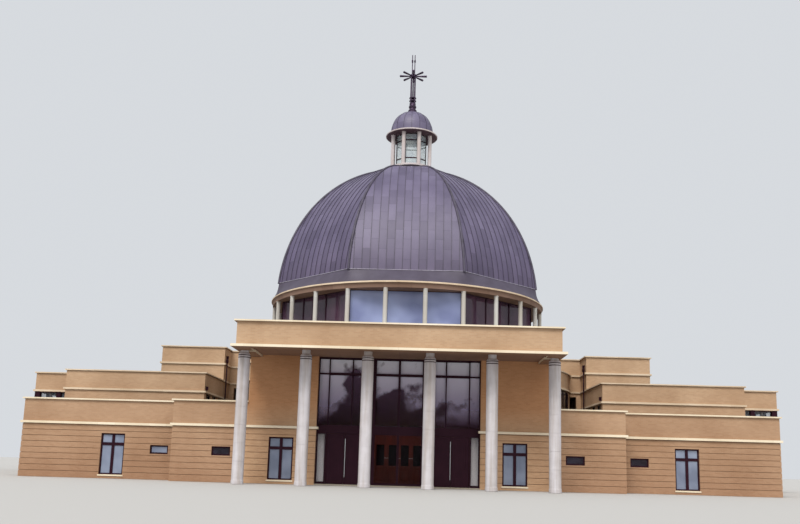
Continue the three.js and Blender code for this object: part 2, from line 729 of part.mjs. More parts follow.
// A skirt whose foot is the polygon of the round cornice and whose head is the octagon
function domeSkirt(footCorner, headCorner, z0, z1) {
  const count = 2 * ROTUNDA_SIDES;
  const onPolygon = (corner, sides, degrees) => {
    const side = 360 / sides;
    const fromMiddle = THREE.MathUtils.degToRad(degrees - side * Math.round(degrees / side));
    return (corner * Math.cos(Math.PI / sides)) / Math.cos(fromMiddle);
  };
  const positions = [];
  const index = [];
  for (let i = 0; i < count; i += 1) {
    const degrees = (360 / count) * i;
    positions.push(...polar(onPolygon(footCorner, ROTUNDA_SIDES, degrees), degrees), z0);
    positions.push(...polar(onPolygon(headCorner, OCTAGON, degrees), degrees), z1);
  }
  const foot = positions.length / 3;
  positions.push(0, 0, z0, 0, 0, z1);
  for (let i = 0; i < count; i += 1) {
    const a = 2 * i;
    const b = 2 * ((i + 1) % count);
    index.push(a, b, b + 1, a, b + 1, a + 1, foot, b, a, foot + 1, a + 1, b + 1);
  }
  const geometry = new THREE.BufferGeometry();
  geometry.setAttribute('position', new THREE.Float32BufferAttribute(positions, 3));
  geometry.setIndex(index);
  return solid(geometry);
}

const domeOuter = turned(domeProfile(DOME_BASE, DOME_TOP, 0, DOME_STEPS), OCTAGON);
const skirt = domeSkirt(DRUM_WALL + CORNICE_STEPS.edge, domeRadius(DOME_BASE), CORNICE_TOP + SEAT, DOME_BASE);
const domeInner = turned(
  domeProfile(CORNICE_TOP - BITE, DOME_TOP - DOME_SHELL, DOME_SHELL, DOME_INSIDE_STEPS), OCTAGON,
);
const domeEye = drumOf(DOME_EYE, DOME_TOP - 3 * DOME_SHELL, DOME_TOP + BITE, DOME_EYE_SIDES);
add('dome', cutBy(domeOuter.add(skirt), [domeInner, domeEye]), lead());

// Lantern: ring of eight columns round a glazed cage, flat round cornice and small dome

add(
  'lantern_colonnade',
  joined([
    ring(LANTERN_NECK, LANTERN_OPENING, DOME_TOP + SEAT, LANTERN_BASE, LANTERN_SIDES),
    ring(LANTERN_DECK, LANTERN_OPENING, LANTERN_BASE - LANTERN_DECK_HEIGHT, LANTERN_BASE, LANTERN_SIDES),
    ...postRing(
      LANTERN_COLUMN_CIRCLE, DRUM_COLUMN_RADIUS, OCTAGON, LANTERN_BASE - LANTERN_DECK_HEIGHT / 2,
      LANTERN_HEAD - SEAT, POST_SIDES,
    ),
  ]),
  stone(),
);
add(
  'lantern_glass',
  ring(
    LANTERN_GLASS_CORNER, LANTERN_GLASS_CORNER - GLASS, LANTERN_BASE + SEAT, LANTERN_HEAD - SEAT, OCTAGON,
  ),
  glazing(),
);
add(
  'lantern_cornice',
  turned(
    [
      [LANTERN_OPENING, LANTERN_HEAD],
      [LANTERN_CORNICE.radius - LANTERN_CORNICE.edge, LANTERN_HEAD],
      [LANTERN_CORNICE.radius, LANTERN_HEAD + LANTERN_CORNICE.lip],
      [LANTERN_CORNICE.radius, LANTERN_HEAD + LANTERN_CORNICE.face],
      [LANTERN_CORNICE.radius - LANTERN_CORNICE.edge, LANTERN_HEAD + LANTERN_CORNICE.height],
      [LANTERN_OPENING, LANTERN_HEAD + LANTERN_CORNICE.height],
      [LANTERN_OPENING, LANTERN_HEAD],
    ],
    LANTERN_SIDES,
  ),
  stone(),
);

function lanternShell(radius, foot, top) {
  const last = Math.asin((top - LANTERN_DOME_CENTRE) / radius);
  const arc = Array.from({ length: LANTERN_DOME_STEPS + 1 }, (_, i) => {
    const angle = (last * i) / LANTERN_DOME_STEPS;
    return [radius * Math.cos(angle), LANTERN_DOME_CENTRE + radius * Math.sin(angle)];
  });
  return turned([[0, foot], [radius, foot], ...arc, [0, top]], LANTERN_DOME_SIDES);
}

const lanternFoot = LANTERN_HEAD + LANTERN_CORNICE.height + SEAT;
const lanternInside = lanternShell(
  LANTERN_DOME_RADIUS - LANTERN_DOME_SHELL, lanternFoot - BITE, LANTERN_TOP - LANTERN_DOME_SHELL - BITE,
);
add(
  'lantern_dome',
  lanternShell(LANTERN_DOME_RADIUS, lanternFoot, LANTERN_TOP).subtract(lanternInside),
  lead(),
);

// Cross: a bell foot, four clustered rods, a hub with eight level arms and thin rods above

function rodBetween(from, to, radius, endRadius = radius) {
  const start = new THREE.Vector3(...from);
  const end = new THREE.Vector3(...to);
  const geometry = new THREE.CylinderGeometry(endRadius, radius, start.distanceTo(end), ROD_SIDES);
  const along = end.clone().sub(start).normalize();
  const up = new THREE.Vector3(0, 1, 0);
  geometry.applyQuaternion(new THREE.Quaternion().setFromUnitVectors(up, along));
  geometry.translate(...start.add(end).multiplyScalar(0.5).toArray());
  return solid(geometry);
}

// A turned knob round the shaft: a rim of the given height with sloping shoulders
function knob(level, reach, rim, shoulder) {
  const upper = [[reach, level + rim], [0, level + rim + shoulder]];
  return turned([[0, level - rim - shoulder], [reach, level - rim], ...upper], CROSS_SIDES);
}

const crossFoot = LANTERN_TOP + SEAT;
const bellFoot = turned(
  [
    [0, crossFoot],
    [340, crossFoot],
    [345, crossFoot + 130],
    [270, crossFoot + 190],
    [225, crossFoot + 420],
    [295, crossFoot + 500],
    [295, crossFoot + 580],
    [245, crossFoot + 640],
    [245, crossFoot + 860],
    [0, crossFoot + 900],
  ],
  CROSS_SIDES,
);
const rodPlaces = (rod) => [45, 135, 225, 315].map((angle) => polar(rod.circle, angle));
const rodsRound = (rod, z0, z1) => rodPlaces(rod).map(([x, y]) =>
  rodBetween([x, y, z0], [x, y, z1], rod.radius));
const crossArms = Array.from({ length: OCTAGON }, (_, i) => {
  const angle = (360 / OCTAGON) * i;
  return rodBetween(
    [...polar(CROSS_ARM.start, angle), CROSS_HUB], [...polar(CROSS_ARM.length, angle), CROSS_HUB],
    CROSS_ARM.radius, CROSS_ARM.end,
  );
});
add(
  'cross',
  joined([
    bellFoot,
    knob(CROSS_HUB, 255, 70, 90),
    knob(crossFoot + 1050, 255, 30, 25),
    knob(crossFoot + 1300, 255, 30, 25),
    ...rodPlaces(TOP_ROD).map(([x, y]) => knob(CROSS_TOP - 500, 66, 40, 30).translate([x, y, 0])),
    ...rodsRound(SHAFT_ROD, crossFoot + SHAFT_ROD.start, CROSS_HUB),
    ...rodsRound(TOP_ROD, CROSS_HUB, CROSS_TOP),
    ...crossArms,
  ]),
  bronze(),
);

// Portico: six stone columns under a deep brick fascia, with a recessed ceiling

const columnTops = BEAM_TOP - BEAM_HALF;
const groove = (level) => [
  [COLUMN.radius, level - COLUMN_GROOVE.half],
  [COLUMN.radius - COLUMN_GROOVE.depth, level],
  [COLUMN.radius, level + COLUMN_GROOVE.half],
];
const columnProfile = [
  [0, 0],
  [COLUMN.base, 0],
  [COLUMN.base, COLUMN.baseTop],
  [COLUMN.radius, COLUMN.baseTop + COLUMN.base - COLUMN.radius],
  ...groove(COLUMN_GROOVE.lower),
  ...groove(COLUMN_GROOVE.upper),
  [COLUMN.neck, COLUMN.neckLow],
  [COLUMN.neck, columnTops],
  [0, columnTops],
];
const columnPlaces = Array.from(
  { length: COLUMN_COUNT },
  (_, i) => (i - (COLUMN_COUNT - 1) / 2) * COLUMN_SPACING,
);
const columnGeometry = new THREE.LatheGeometry(
  columnProfile.map(([r, z]) => new THREE.Vector2(r, z)), COLUMN_SIDES,
);
columnGeometry.rotateX(Math.PI / 2);
const columns = columnPlaces.map((x) => solid(columnGeometry.clone().translate(x, COLUMN_LINE, 0)));
const ceilingTop = CEILING + CEILING_BOARD;
const ceilingHalf = PORTICO_HALF - WALL - SEAT;
// The end columns stand under the fascia, so they meet the beam through a pad stone
const padLine = (margin) => [COLUMN_LINE - BEAM_HALF - margin, COLUMN_LINE + BEAM_HALF + margin];
const padInner = ceilingHalf - BEAM_HALF;
add(
  'portico_colonnade',
  cutBy(joined(columns), [
    ...acrossBoth(
      PORTICO_HALF - SEAT, PORTICO_HALF + WALL, ...padLine(BITE), PORTICO_SOFFIT - SEAT, columnTops + BITE,
    ),
    ...acrossBoth(
      padInner, PORTICO_HALF, ...padLine(BITE), PORTICO_SOFFIT + CEILING_BOARD, columnTops + BITE,
    ),
  ])
    .add(box(-ceilingHalf, ceilingHalf, ...padLine(0), ceilingTop + SEAT, BEAM_TOP))
    .add(joined(acrossBoth(padInner, PORTICO_HALF - SEAT, ...padLine(0), PORTICO_SOFFIT, CEILING - SEAT)))
    .add(joined(acrossBoth(padInner, ceilingHalf, ...padLine(0), PORTICO_SOFFIT, ceilingTop + BITE))),
  castStone(),
);
const ceilingHole = drumOf(COLUMN.neck + 2 * RUN, CEILING - BITE, ceilingTop + BITE, COLUMN_SIDES);
const ceilingHoles = columnPlaces.slice(1, -1).map((x) => ceilingHole.translate([x, COLUMN_LINE, 0]));
add(
  'portico_ceiling',
  cutBy(
    box(-ceilingHalf, ceilingHalf, PORTICO_FACE + WALL + SEAT, FRONT + WALL, CEILING, ceilingTop),
    [
      ...ceilingHoles,
      ...acrossBoth(padInner - SEAT, ceilingHalf + BITE, ...padLine(SEAT), CEILING - BITE, ceilingTop + BITE),
    ],
  ),
  plaster(),
);
const porticoTop = PORTICO_COPING - COPING_HEIGHT / 2 - SEAT;
const fascia = strip(foyerPath, 0, -WALL, lowRoofTop + SEAT, porticoTop);
add(
  'portico_fascia',
  cutBy(fascia, [
    box(
      -PORTICO_HALF - BITE, PORTICO_HALF + BITE, PORTICO_FACE - BITE, FRONT + WALL + SEAT, 0, CEILING + SEAT,
    ),
    drumOf(rotundaClear, 0, COPING_3, ROTUNDA_SIDES),
  ]),
  brick(),
);
const foyerRoof = box(
  -ceilingHalf, ceilingHalf, PORTICO_FACE + WALL + SEAT, 0, BEAM_TOP + SEAT, BEAM_TOP + SLAB,
);
add('portico_roof', foyerRoof.subtract(drumOf(rotundaClear, 0, COPING_3, ROTUNDA_SIDES)), roofing());

// Entrance screen: dark metal frame, glass behind it, and two pairs of doors

const frameBar = (x0, x1, z0, z1) => box(
  Math.min(x0, x1), Math.max(x0, x1), SCREEN_FACE, SCREEN_FACE + SCREEN_DEPTH, z0, z1,
);
const screenFoot = FLOOR + SEAT;
const screenHead = CEILING - SEAT;
const screenHalf = ENTRANCE_HALF - SEAT;
const sideBars = (side) => {
  const bar = (from, to, z0, z1) => frameBar(side * from, side * to, z0, z1);
  return [
    bar(screenHalf - MULLION, screenHalf, screenFoot, screenHead),
    bar(POST_INNER, POST_OUTER, screenFoot, screenHead),
    bar(POST_OUTER - BITE, screenHalf, SPANDREL_LOW, SPANDREL_HIGH),
    bar(DOOR_OUTER, DOOR_OUTER + MULLION, screenFoot, SPANDREL_LOW + BITE),
    bar(DOOR_OUTER, screenHalf, screenFoot, screenFoot + RAIL),
    bar(DOOR_OUTER - MULLION, DOOR_OUTER, SPANDREL_HIGH - BITE, screenHead),
    bar(OUTER_MULLION - MULLION / 2, OUTER_MULLION + MULLION / 2, SPANDREL_HIGH - BITE, screenHead),
  ];
};
add(
  'entrance_screen',
  joined([
    frameBar(-screenHalf, screenHalf, screenHead - RAIL, screenHead),
    frameBar(-screenHalf, screenHalf, SCREEN_TRANSOM - TRANSOM_HALF, SCREEN_TRANSOM + TRANSOM_HALF),
    frameBar(-MULLION / 2, MULLION / 2, screenFoot, screenHead),
    frameBar(-POST_INNER, POST_INNER, screenFoot, screenFoot + RAIL),
    frameBar(-POST_INNER, POST_INNER, SPANDREL_LOW, SPANDREL_HIGH),
    ...sideBars(-1),
    ...sideBars(1),
  ]),
  darkFrame(),
);

const paneFace = SCREEN_FACE + SCREEN_DEPTH + SEAT;
const doorways = acrossBoth(
  POST_OUTER - MULLION, DOOR_OUTER + MULLION / 2, paneFace - BITE, paneFace + GLASS + BITE, 0,
  SPANDREL_LOW + MULLION / 2,
);
add(
  'entrance_glass',
  cutBy(box(-screenHalf, screenHalf, paneFace, paneFace + GLASS, screenFoot, screenHead), doorways),
  glazing(),
);

// Door leaves turn on a pivot in the floor and one in the frame's head
const meeting = (POST_OUTER + DOOR_OUTER) / 2;
const leafFace = SCREEN_FACE + LEAF_INSET;
const leafMiddle = leafFace + LEAF_DEPTH / 2;
const pivotAt = (x) => {
  const rod = drumOf(PIVOT_RADIUS, FLOOR + SEAT, SPANDREL_LOW - SEAT, POST_SIDES);
  return rod.translate([x, leafMiddle, 0]);
};
const leafBetween = (x0, x1) => box(
  x0, x1, leafFace, leafFace + LEAF_DEPTH, FLOOR + RUN, SPANDREL_LOW - RUN,
);
const outerEdge = DOOR_OUTER - HINGE_GAP;
const innerEdge = POST_OUTER + HINGE_GAP;
const outerLeaf = leafBetween(meeting + RUN / 2, outerEdge).add(pivotAt(outerEdge - HINGE_INSET));
const innerLeaf = leafBetween(innerEdge, meeting - RUN / 2).add(pivotAt(innerEdge + HINGE_INSET));
const pullX = meeting - RUN / 2 - PULL.inset;
const pullY = leafFace - PULL.reach;
const pullArm = (z) => rodBetween([pullX, pullY, z], [pullX, leafMiddle, z], PULL.arm);
const pull = joined([
  rodBetween([pullX, pullY, PULL.low], [pullX, pullY, PULL.high], PULL.radius),
  pullArm(PULL.armLow),
  pullArm(PULL.armHigh),
]);
addPair('door_outer', outerLeaf, darkFrame());
addPair('door_inner', innerLeaf.add(pull), darkFrame());

// Timber lobby screen seen through the middle bay, with three pairs of fixed glazed doors

const lobbyLights = Array.from({ length: LOBBY_LIGHTS.count }, (_, i) => {
  const x0 = (i - (LOBBY_LIGHTS.count - 1) / 2) * LOBBY_LIGHTS.spacing - LOBBY_LIGHTS.half;
  const x1 = x0 + 2 * LOBBY_LIGHTS.half;
  return box(
    x0, x1, LOBBY_FACE - BITE, LOBBY_FACE + LOBBY_DEPTH + BITE, LOBBY_LIGHTS.low, LOBBY_LIGHTS.high,
  );
});
const lobbyBoard = box(
  -LOBBY_HALF, LOBBY_HALF, LOBBY_FACE, LOBBY_FACE + LOBBY_DEPTH, FLOOR + SEAT, LOBBY_HEAD,
);
add('lobby_screen', cutBy(lobbyBoard, lobbyLights), timber());

// Stone strings and copings

const returnPath = [[ENTRANCE_HALF, SCREEN_FACE - RUN], ...frontPath.slice(0, 1)];
const stringRight = [...returnPath, ...rightOutline, ...backPath(rightOutline)];
const stringPath = [...stringRight, ...mirrorPath(stringRight)];
add(
  'ground_string',
  strip(stringPath, STONE_REACH, SEAT, stringLow(STRING_1), stringHigh(STRING_1)),
  stone(),
);

const copingBand = (path, level, make = strip) =>
  make(path, STONE_REACH, -WALL - COPING_BACK, level - COPING_HEIGHT / 2, level + COPING_HEIGHT / 2);
addPair('wing_coping', copingBand(wingPath, COPING_1), stone());
add('rear_coping', copingBand(rearPath, COPING_1), stone());

const behindLink = box(
  TRANSEPT_INNER - STONE_REACH - BITE, TRANSEPT_INNER, LINK_FRONT - RUN, -LINK_FRONT + RUN,
  stringLow(STRING_2) - BITE, stringHigh(STRING_2) + BITE,
);
const underUpper = box(
  TRANSEPT_INNER - STONE_REACH - BITE, UPPER_OUTER, UPPER_FRONT - SEAT, -UPPER_FRONT + SEAT,
  COPING_2 - COPING_HEIGHT, COPING_2 + COPING_HEIGHT,
);
addPair(
  'transept_string',
  loop(transeptPath, STONE_REACH, SEAT, stringLow(STRING_2), stringHigh(STRING_2)).subtract(behindLink),
  stone(),
);
addPair('transept_coping', copingBand(transeptPath, COPING_2, loop).subtract(underUpper), stone());
const drumClear = drumOf(around(DRUM_WALL, SEAT, ROTUNDA_SIDES), 0, COPING_3 + COPING_HEIGHT, ROTUNDA_SIDES);
const stringClear = drumOf(linkClear, 0, STRING_3 + COPING_HEIGHT / 2 + RUN, ROTUNDA_SIDES);
addPair(
  'upper_string',
  cutBy(strip(upperPath, STONE_REACH, SEAT, stringLow(STRING_3), stringHigh(STRING_3)), [
    stringClear,
    drumClear,
  ]),
  stone(),
);
addPair('upper_coping', copingBand(upperPath, COPING_3).subtract(drumClear), stone());

const foyerClear = box(
  -PORTICO_HALF - PORTICO_BAND_REACH - RUN, PORTICO_HALF + PORTICO_BAND_REACH + RUN,
  -ROTUNDA - WALL * 2, 0, 0, COPING_3,
);
add(
  'rotunda_string',
  ring(
    ROTUNDA + STONE_REACH, ROTUNDA + SEAT, stringLow(COPING_2), stringHigh(COPING_2), ROTUNDA_SIDES,
  ).subtract(foyerClear),
  stone(),
);
add(
  'rotunda_coping',
  ring(
    ROTUNDA + STONE_REACH, ROTUNDA - WALL - COPING_BACK, STRING_3 - COPING_HEIGHT / 2,
    STRING_3 + COPING_HEIGHT / 2, ROTUNDA_SIDES,
  ),
  stone(),
);
// The lower band lies under the fascia, and goes back along the foyer as a string
const bandOuter = PORTICO_HALF + PORTICO_BAND_REACH;
const bandStrip = PORTICO_HALF + SEAT;
const bandInner = PORTICO_HALF - WALL - BAND_MARGIN;
const bandHalf = [
  [bandOuter, PORTICO_FACE - PORTICO_BAND_REACH],
  [bandOuter, -ROTUNDA / 2],
  [bandStrip, -ROTUNDA / 2],
  [bandStrip, FRONT - SEAT],
  [bandInner, FRONT - SEAT],
  [bandInner, PORTICO_FACE + WALL + BAND_MARGIN],
];
add(
  'portico_band',
  cutBy(plate([...bandHalf, ...mirrorPath(bandHalf)], PORTICO_SOFFIT, CEILING - SEAT), [
    drumOf(linkClear, 0, COPING_3, ROTUNDA_SIDES),
    ...acrossBoth(padInner - SEAT, bandStrip, ...padLine(SEAT), PORTICO_SOFFIT - BITE, CEILING),
  ]),
  stone(),
);
add(
  'portico_coping',
  strip(
    foyerPath, FASCIA_COPING_REACH, -WALL - COPING_BACK, PORTICO_COPING - COPING_HEIGHT / 2,
    PORTICO_COPING + COPING_HEIGHT / 2,
  ).subtract(drumOf(linkClear, 0, COPING_3, ROTUNDA_SIDES)),
  stone(),
);

export default building;
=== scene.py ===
import math
from itertools import pairwise

import bmesh
import bpy
from mathutils import Matrix, Vector

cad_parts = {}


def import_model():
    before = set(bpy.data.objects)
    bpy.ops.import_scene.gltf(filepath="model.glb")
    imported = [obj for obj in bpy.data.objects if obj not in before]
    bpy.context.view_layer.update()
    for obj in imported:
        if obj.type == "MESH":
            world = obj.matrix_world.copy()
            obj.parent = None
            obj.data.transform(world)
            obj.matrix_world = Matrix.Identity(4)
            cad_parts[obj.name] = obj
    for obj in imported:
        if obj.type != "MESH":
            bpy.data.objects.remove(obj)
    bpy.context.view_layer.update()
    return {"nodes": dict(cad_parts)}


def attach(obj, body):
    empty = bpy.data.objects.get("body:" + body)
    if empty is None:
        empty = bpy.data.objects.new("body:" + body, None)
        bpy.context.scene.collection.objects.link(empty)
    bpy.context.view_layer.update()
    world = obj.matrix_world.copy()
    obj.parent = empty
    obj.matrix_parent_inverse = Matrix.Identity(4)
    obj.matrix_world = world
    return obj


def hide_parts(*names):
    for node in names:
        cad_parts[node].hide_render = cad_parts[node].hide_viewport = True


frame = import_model()

# Brick walls
# Buff facing brick, wire-cut and fired, 225 x 75 mm with its mortar, laid in stretcher bond.
# In the ground storey the joint over every fourth course is raked out as a groove, darkened as
# painted shade.

MM = 0.0005  # one millimetre of the real building, in metres on this 1:2 model


def linear(colour):
    """An sRGB colour such as "#C7A37C" in the linear values that a socket holds."""
    parts = [int(colour[i : i + 2], 16) / 255 for i in (1, 3, 5)]
    return [c / 12.92 if c <= 0.04045 else ((c + 0.055) / 1.055) ** 2.4 for c in parts] + [1]


def add_node(tree, kind, links=None, stops=(), **settings):
    """Adds a node. links holds its sockets' values, or the sockets that feed them."""
    node = tree.nodes.new("ShaderNode" + kind)
    for name, value in settings.items():
        setattr(node, name, value)
    for place, _ in stops[2:]:
        node.color_ramp.elements.new(place)
    for i, (place, colour) in enumerate(stops):
        node.color_ramp.elements[i].position = place
        node.color_ramp.elements[i].color = linear(colour)
    for name, value in (links or {}).items():
        if isinstance(value, bpy.types.NodeSocket):
            tree.links.new(value, node.inputs[name])
        else:
            node.inputs[name].default_value = linear(value) if isinstance(value, str) else value
    return node.outputs


def new_material(name):
    material = bpy.data.materials.new(name)
    material.use_nodes = True
    material.node_tree.nodes.clear()
    add_node(material.node_tree, "TexCoord", name="place")
    return material, material.node_tree


def place_in(tree, kind="Object"):
    """The point's place on the building, which also serves what is laid flat."""
    return tree.nodes["place"].outputs[kind]


def finish_with(tree, **links):
    """The finished surface: the shader's own sockets, by their names with _ for a space."""
    sockets = {name.replace("_", " "): value for name, value in links.items()}
    shader = add_node(tree, "BsdfPrincipled", sockets)
    add_node(tree, "OutputMaterial", {"Surface": shader["BSDF"]})


def stain_or_painted_light(tree, colour, value, stops):
    """The colour under a stain, or under painted light or shade, that follows the value, with a
    stop at each (value, tint).
    """
    stain = add_node(tree, "ValToRGB", {"Fac": value}, stops)["Color"]
    sockets = {0: 1.0, 6: colour, 7: stain}
    return add_node(tree, "Mix", sockets, data_type="RGBA", blend_type="MULTIPLY")["Result"]


def cloudy(tree, size, dark, pale, detail=4.0, span=(0.3, 0.7), vector=None, over="#FFFFFF"):
    """Soft patches of two tints over a colour, about this many real millimetres across."""
    sockets = {"Vector": vector or place_in(tree), "Scale": 1 / (size * MM), "Detail": detail}
    waves = add_node(tree, "TexNoise", sockets)["Fac"]
    return stain_or_painted_light(tree, over, waves, [(span[0], dark), (span[1], pale)])


def rough(tree, size, detail, strength, depth, joints=None, vector=None):
    """The normals of a fine relief, of this size and depth in real millimetres, and of joints."""
    sockets = {"Vector": vector or place_in(tree), "Scale": 1 / (size * MM), "Detail": detail}
    height = add_node(tree, "TexNoise", sockets)["Fac"]
    if joints:
        height = add_node(tree, "Math", {0: height, 1: joints}, operation="SUBTRACT")["Value"]
    sockets = {"Height": height, "Strength": strength, "Distance": depth * MM}
    return add_node(tree, "Bump", sockets)["Normal"]


def mottled(name, size, dark, pale, roughness):
    """A dull finish in soft patches of two tones."""
    material, tree = new_material(name)
    finish_with(tree, Base_Color=cloudy(tree, size, dark, pale), Roughness=roughness)
    return material


def laid(name, run, unit, tones, stains, roughness, grit, fade=None, under=None, middle_light=None):
    """Units laid in rows, each of its own tone, and stained in patches.

    run gives the way along the rows; unit is (length, row, joint, bond), and grit the (size,
    depth) of the surface's own texture, in real millimetres. fade is (low, high, tints), tints
    that change with the level; under tints what faces down, a painted shade; middle_light is
    (half width, tints), painted light and shade that over that width about the middle take the
    place of fade's.
    """
    material, tree = new_material(name)
    length, row, joint, bond = unit
    sockets = {
        "Vector": run(tree), "Color1": tones[0], "Color2": tones[1], "Mortar": tones[2],
        "Scale": 1.0, "Mortar Size": joint / 2 * MM, "Mortar Smooth": 0.2, "Bias": 0.0,
        "Brick Width": length * MM, "Row Height": row * MM,
    }
    units = add_node(tree, "TexBrick", sockets, offset=bond)
    colour = cloudy(tree, 2600, *stains, over=units["Color"])
    if fade:
        start, end, tints = fade
        at = add_node(tree, "SeparateXYZ", {0: place_in(tree)})
        sockets = {"Value": at["Z"], "From Min": start * MM, "From Max": end * MM}
        rise = add_node(tree, "MapRange", sockets)["Result"]
        faded = stain_or_painted_light(tree, colour, rise, tints)
        if middle_light:
            half, tints = middle_light
            across = add_node(tree, "Math", {0: at["X"]}, operation="ABSOLUTE")["Value"]
            near, far = (half - 150) * MM, (half + 150) * MM
            sockets = {"Value": across, "From Min": near, "From Max": far}
            beyond = add_node(tree, "MapRange", sockets)["Result"]
            sockets = {0: beyond, 6: stain_or_painted_light(tree, colour, rise, tints), 7: faded}
            faded = add_node(tree, "Mix", sockets, data_type="RGBA")["Result"]
        colour = faded
    if under:
        facing = add_node(tree, "SeparateXYZ", {0: place_in(tree, "Normal")})
        down = add_node(tree, "Math", {0: facing["Z"], 1: -1.0}, operation="MULTIPLY")["Value"]
        colour = stain_or_painted_light(tree, colour, down, [(0.4, "#FFFFFF"), (0.8, under)])
    bumps = rough(tree, grit[0], 2.0, 0.6, grit[1], units["Fac"])
    finish_with(tree, Base_Color=colour, Roughness=roughness, Normal=bumps)
    return material


FIRST_COURSE = 36  # the lowest bed joint that shows, so that every fourth one meets a groove


def in_rows(tree, along, level):
    sockets = {0: level, 1: FIRST_COURSE * MM}
    rise = add_node(tree, "Math", sockets, operation="SUBTRACT")["Value"]
    return add_node(tree, "CombineXYZ", {"X": along, "Y": rise})["Vector"]


def along_straight_walls(tree):
    """Y and height on walls that face sideways, X and height on all others."""
    at = add_node(tree, "SeparateXYZ", {0: place_in(tree)})
    facing = add_node(tree, "SeparateXYZ", {0: place_in(tree, "Normal")})
    across = add_node(tree, "Math", {0: facing["X"]}, operation="ABSOLUTE")["Value"]
    sideways = add_node(tree, "Math", {0: across, 1: 0.7}, operation="GREATER_THAN")["Value"]
    along = add_node(tree, "Mix", {0: sideways, 2: at["X"], 3: at["Y"]})["Result"]
    return in_rows(tree, along, at["Z"])


def round_walls(radius):
    """The way round a wall of this radius about the dome's axis, and the height."""

    def run(tree):
        at = add_node(tree, "SeparateXYZ", {0: place_in(tree)})
        turn = add_node(tree, "Math", {0: at["Y"], 1: at["X"]}, operation="ARCTAN2")["Value"]
        sockets = {0: turn, 1: radius * MM}
        along = add_node(tree, "Math", sockets, operation="MULTIPLY")["Value"]
        return in_rows(tree, along, at["Z"])

    return run


def select_all():
    bpy.ops.mesh.select_all(action="SELECT")


def deselect_all():
    if bpy.context.object and bpy.context.object.mode != "OBJECT":
        bpy.ops.object.mode_set(mode="OBJECT")
    bpy.ops.object.select_all(action="DESELECT")


def select_only(piece):
    deselect_all()
    bpy.context.view_layer.objects.active = piece
    piece.select_set(True)


def edit(piece):
    select_only(piece)
    bpy.ops.object.mode_set(mode="EDIT")


def pick(test, kind="faces"):
    """In edit mode, selects just the faces, edges or verts that pass the test."""
    bpy.ops.mesh.select_all(action="DESELECT")
    shape = bmesh.from_edit_mesh(bpy.context.object.data)
    shape.normal_update()
    for part in getattr(shape, kind):
        if test(part):
            part.select_set(True)
    bmesh.update_edit_mesh(bpy.context.object.data)


def done():
    """Closes the seams, turns the faces outwards and leaves edit mode."""
    select_all()
    bpy.ops.mesh.remove_doubles(threshold=1e-5)
    bpy.ops.mesh.normals_make_consistent(inside=False)
    bpy.ops.object.mode_set(mode="OBJECT")
    return bpy.context.object


def smooth(piece, degrees=28):
    """Shades the piece as curved wherever its faces meet at less than this angle."""
    select_only(piece)
    bpy.ops.object.shade_smooth_by_angle(angle=math.radians(degrees))


def copy_of(node):
    """A copy of one of the part's solids, with its loose triangles merged into clean faces."""
    deselect_all()
    piece = bpy.data.objects.new(node + "_finished", frame["nodes"][node].data.copy())
    bpy.context.scene.collection.objects.link(piece)
    edit(piece)
    select_all()
    bpy.ops.mesh.remove_doubles(threshold=1e-5)
    bpy.ops.mesh.dissolve_limited(angle_limit=math.radians(0.3))
    bpy.ops.object.mode_set(mode="OBJECT")
    return piece


def block(name, x0, x1, y0, y1, z0, z1):
    """A cube drawn out to these faces, in millimetres of the real building."""
    deselect_all()
    middle = Vector((x0 + x1, y0 + y1, z0 + z1)) / 2 * MM
    size = Vector((x1 - x0, y1 - y0, z1 - z0)) * MM
    bpy.ops.mesh.primitive_cube_add(size=1, location=middle, scale=size)
    bpy.ops.object.transform_apply()
    bpy.context.object.name = name
    return bpy.context.object


def placed(piece, *matrices):
    """Moves a piece to these places, as copies with a mesh each; the pattern itself is removed."""
    copies = []
    for matrix in matrices:
        twin = bpy.data.objects.new(piece.name, piece.data.copy())
        twin.data.transform(matrix)
        bpy.context.scene.collection.objects.link(twin)
        copies.append(twin)
    bpy.data.objects.remove(piece)
    return copies


def rotated(degrees, axis):
    return Matrix.Rotation(math.radians(degrees), 4, axis)


def moved(x, y, z=0, turn=0):
    """The place at x, y, z in real millimetres, turned by this many degrees about the vertical."""
    return Matrix.Translation(Vector((x, y, z)) * MM) @ rotated(turn, "Z")


def turned_round(count, x=0, y=0, first=0.0):
    """Places in a ring round the dome's axis, starting this many degrees from the front."""
    return [rotated(first + 360 / count * i, "Z") @ moved(x, y) for i in range(count)]


def join(name, pieces):
    deselect_all()
    for piece in pieces:
        piece.select_set(True)
    bpy.context.view_layer.objects.active = pieces[0]
    if len(pieces) > 1:
        bpy.ops.object.join()
    pieces[0].name = pieces[0].data.name = name
    return pieces[0]


def fix(piece, material, stands_for=(), body="building"):
    """Gives a piece its finish and fixes it to a body, in the place of the nodes it covers."""
    piece.data.materials.clear()
    piece.data.materials.append(material)
    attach(piece, body)
    if stands_for:
        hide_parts(*stands_for)


def fix_copies(name, piece, places, material, stands_for=()):
    """Copies a piece to these places and fixes the copies as one."""
    fix(join(name, placed(piece, *places)), material, stands_for)


def second_finish(piece, material, test):
    """Gives the faces that pass the test another finish."""
    piece.data.materials.append(material)
    for face in piece.data.polygons:
        face.material_index = int(test(face))


def dress(material, *nodes):
    """Gives solids of the part their finish; their shapes stay as they are."""
    for node in nodes:
        for slot in frame["nodes"][node].material_slots:
            slot.material = material


def mitred(path, reach):
    """The path moved outwards by this much; the building is on its left."""
    ways = [(after - here).normalized() for here, after in pairwise(path)]
    corners = []
    for here, a, b in zip(path, ways[:1] + ways, ways + ways[-1:]):
        side = Vector((a.y + b.y, -a.x - b.x)) / (1 + a.dot(b))
        corners.append(here + side * reach)
    return corners


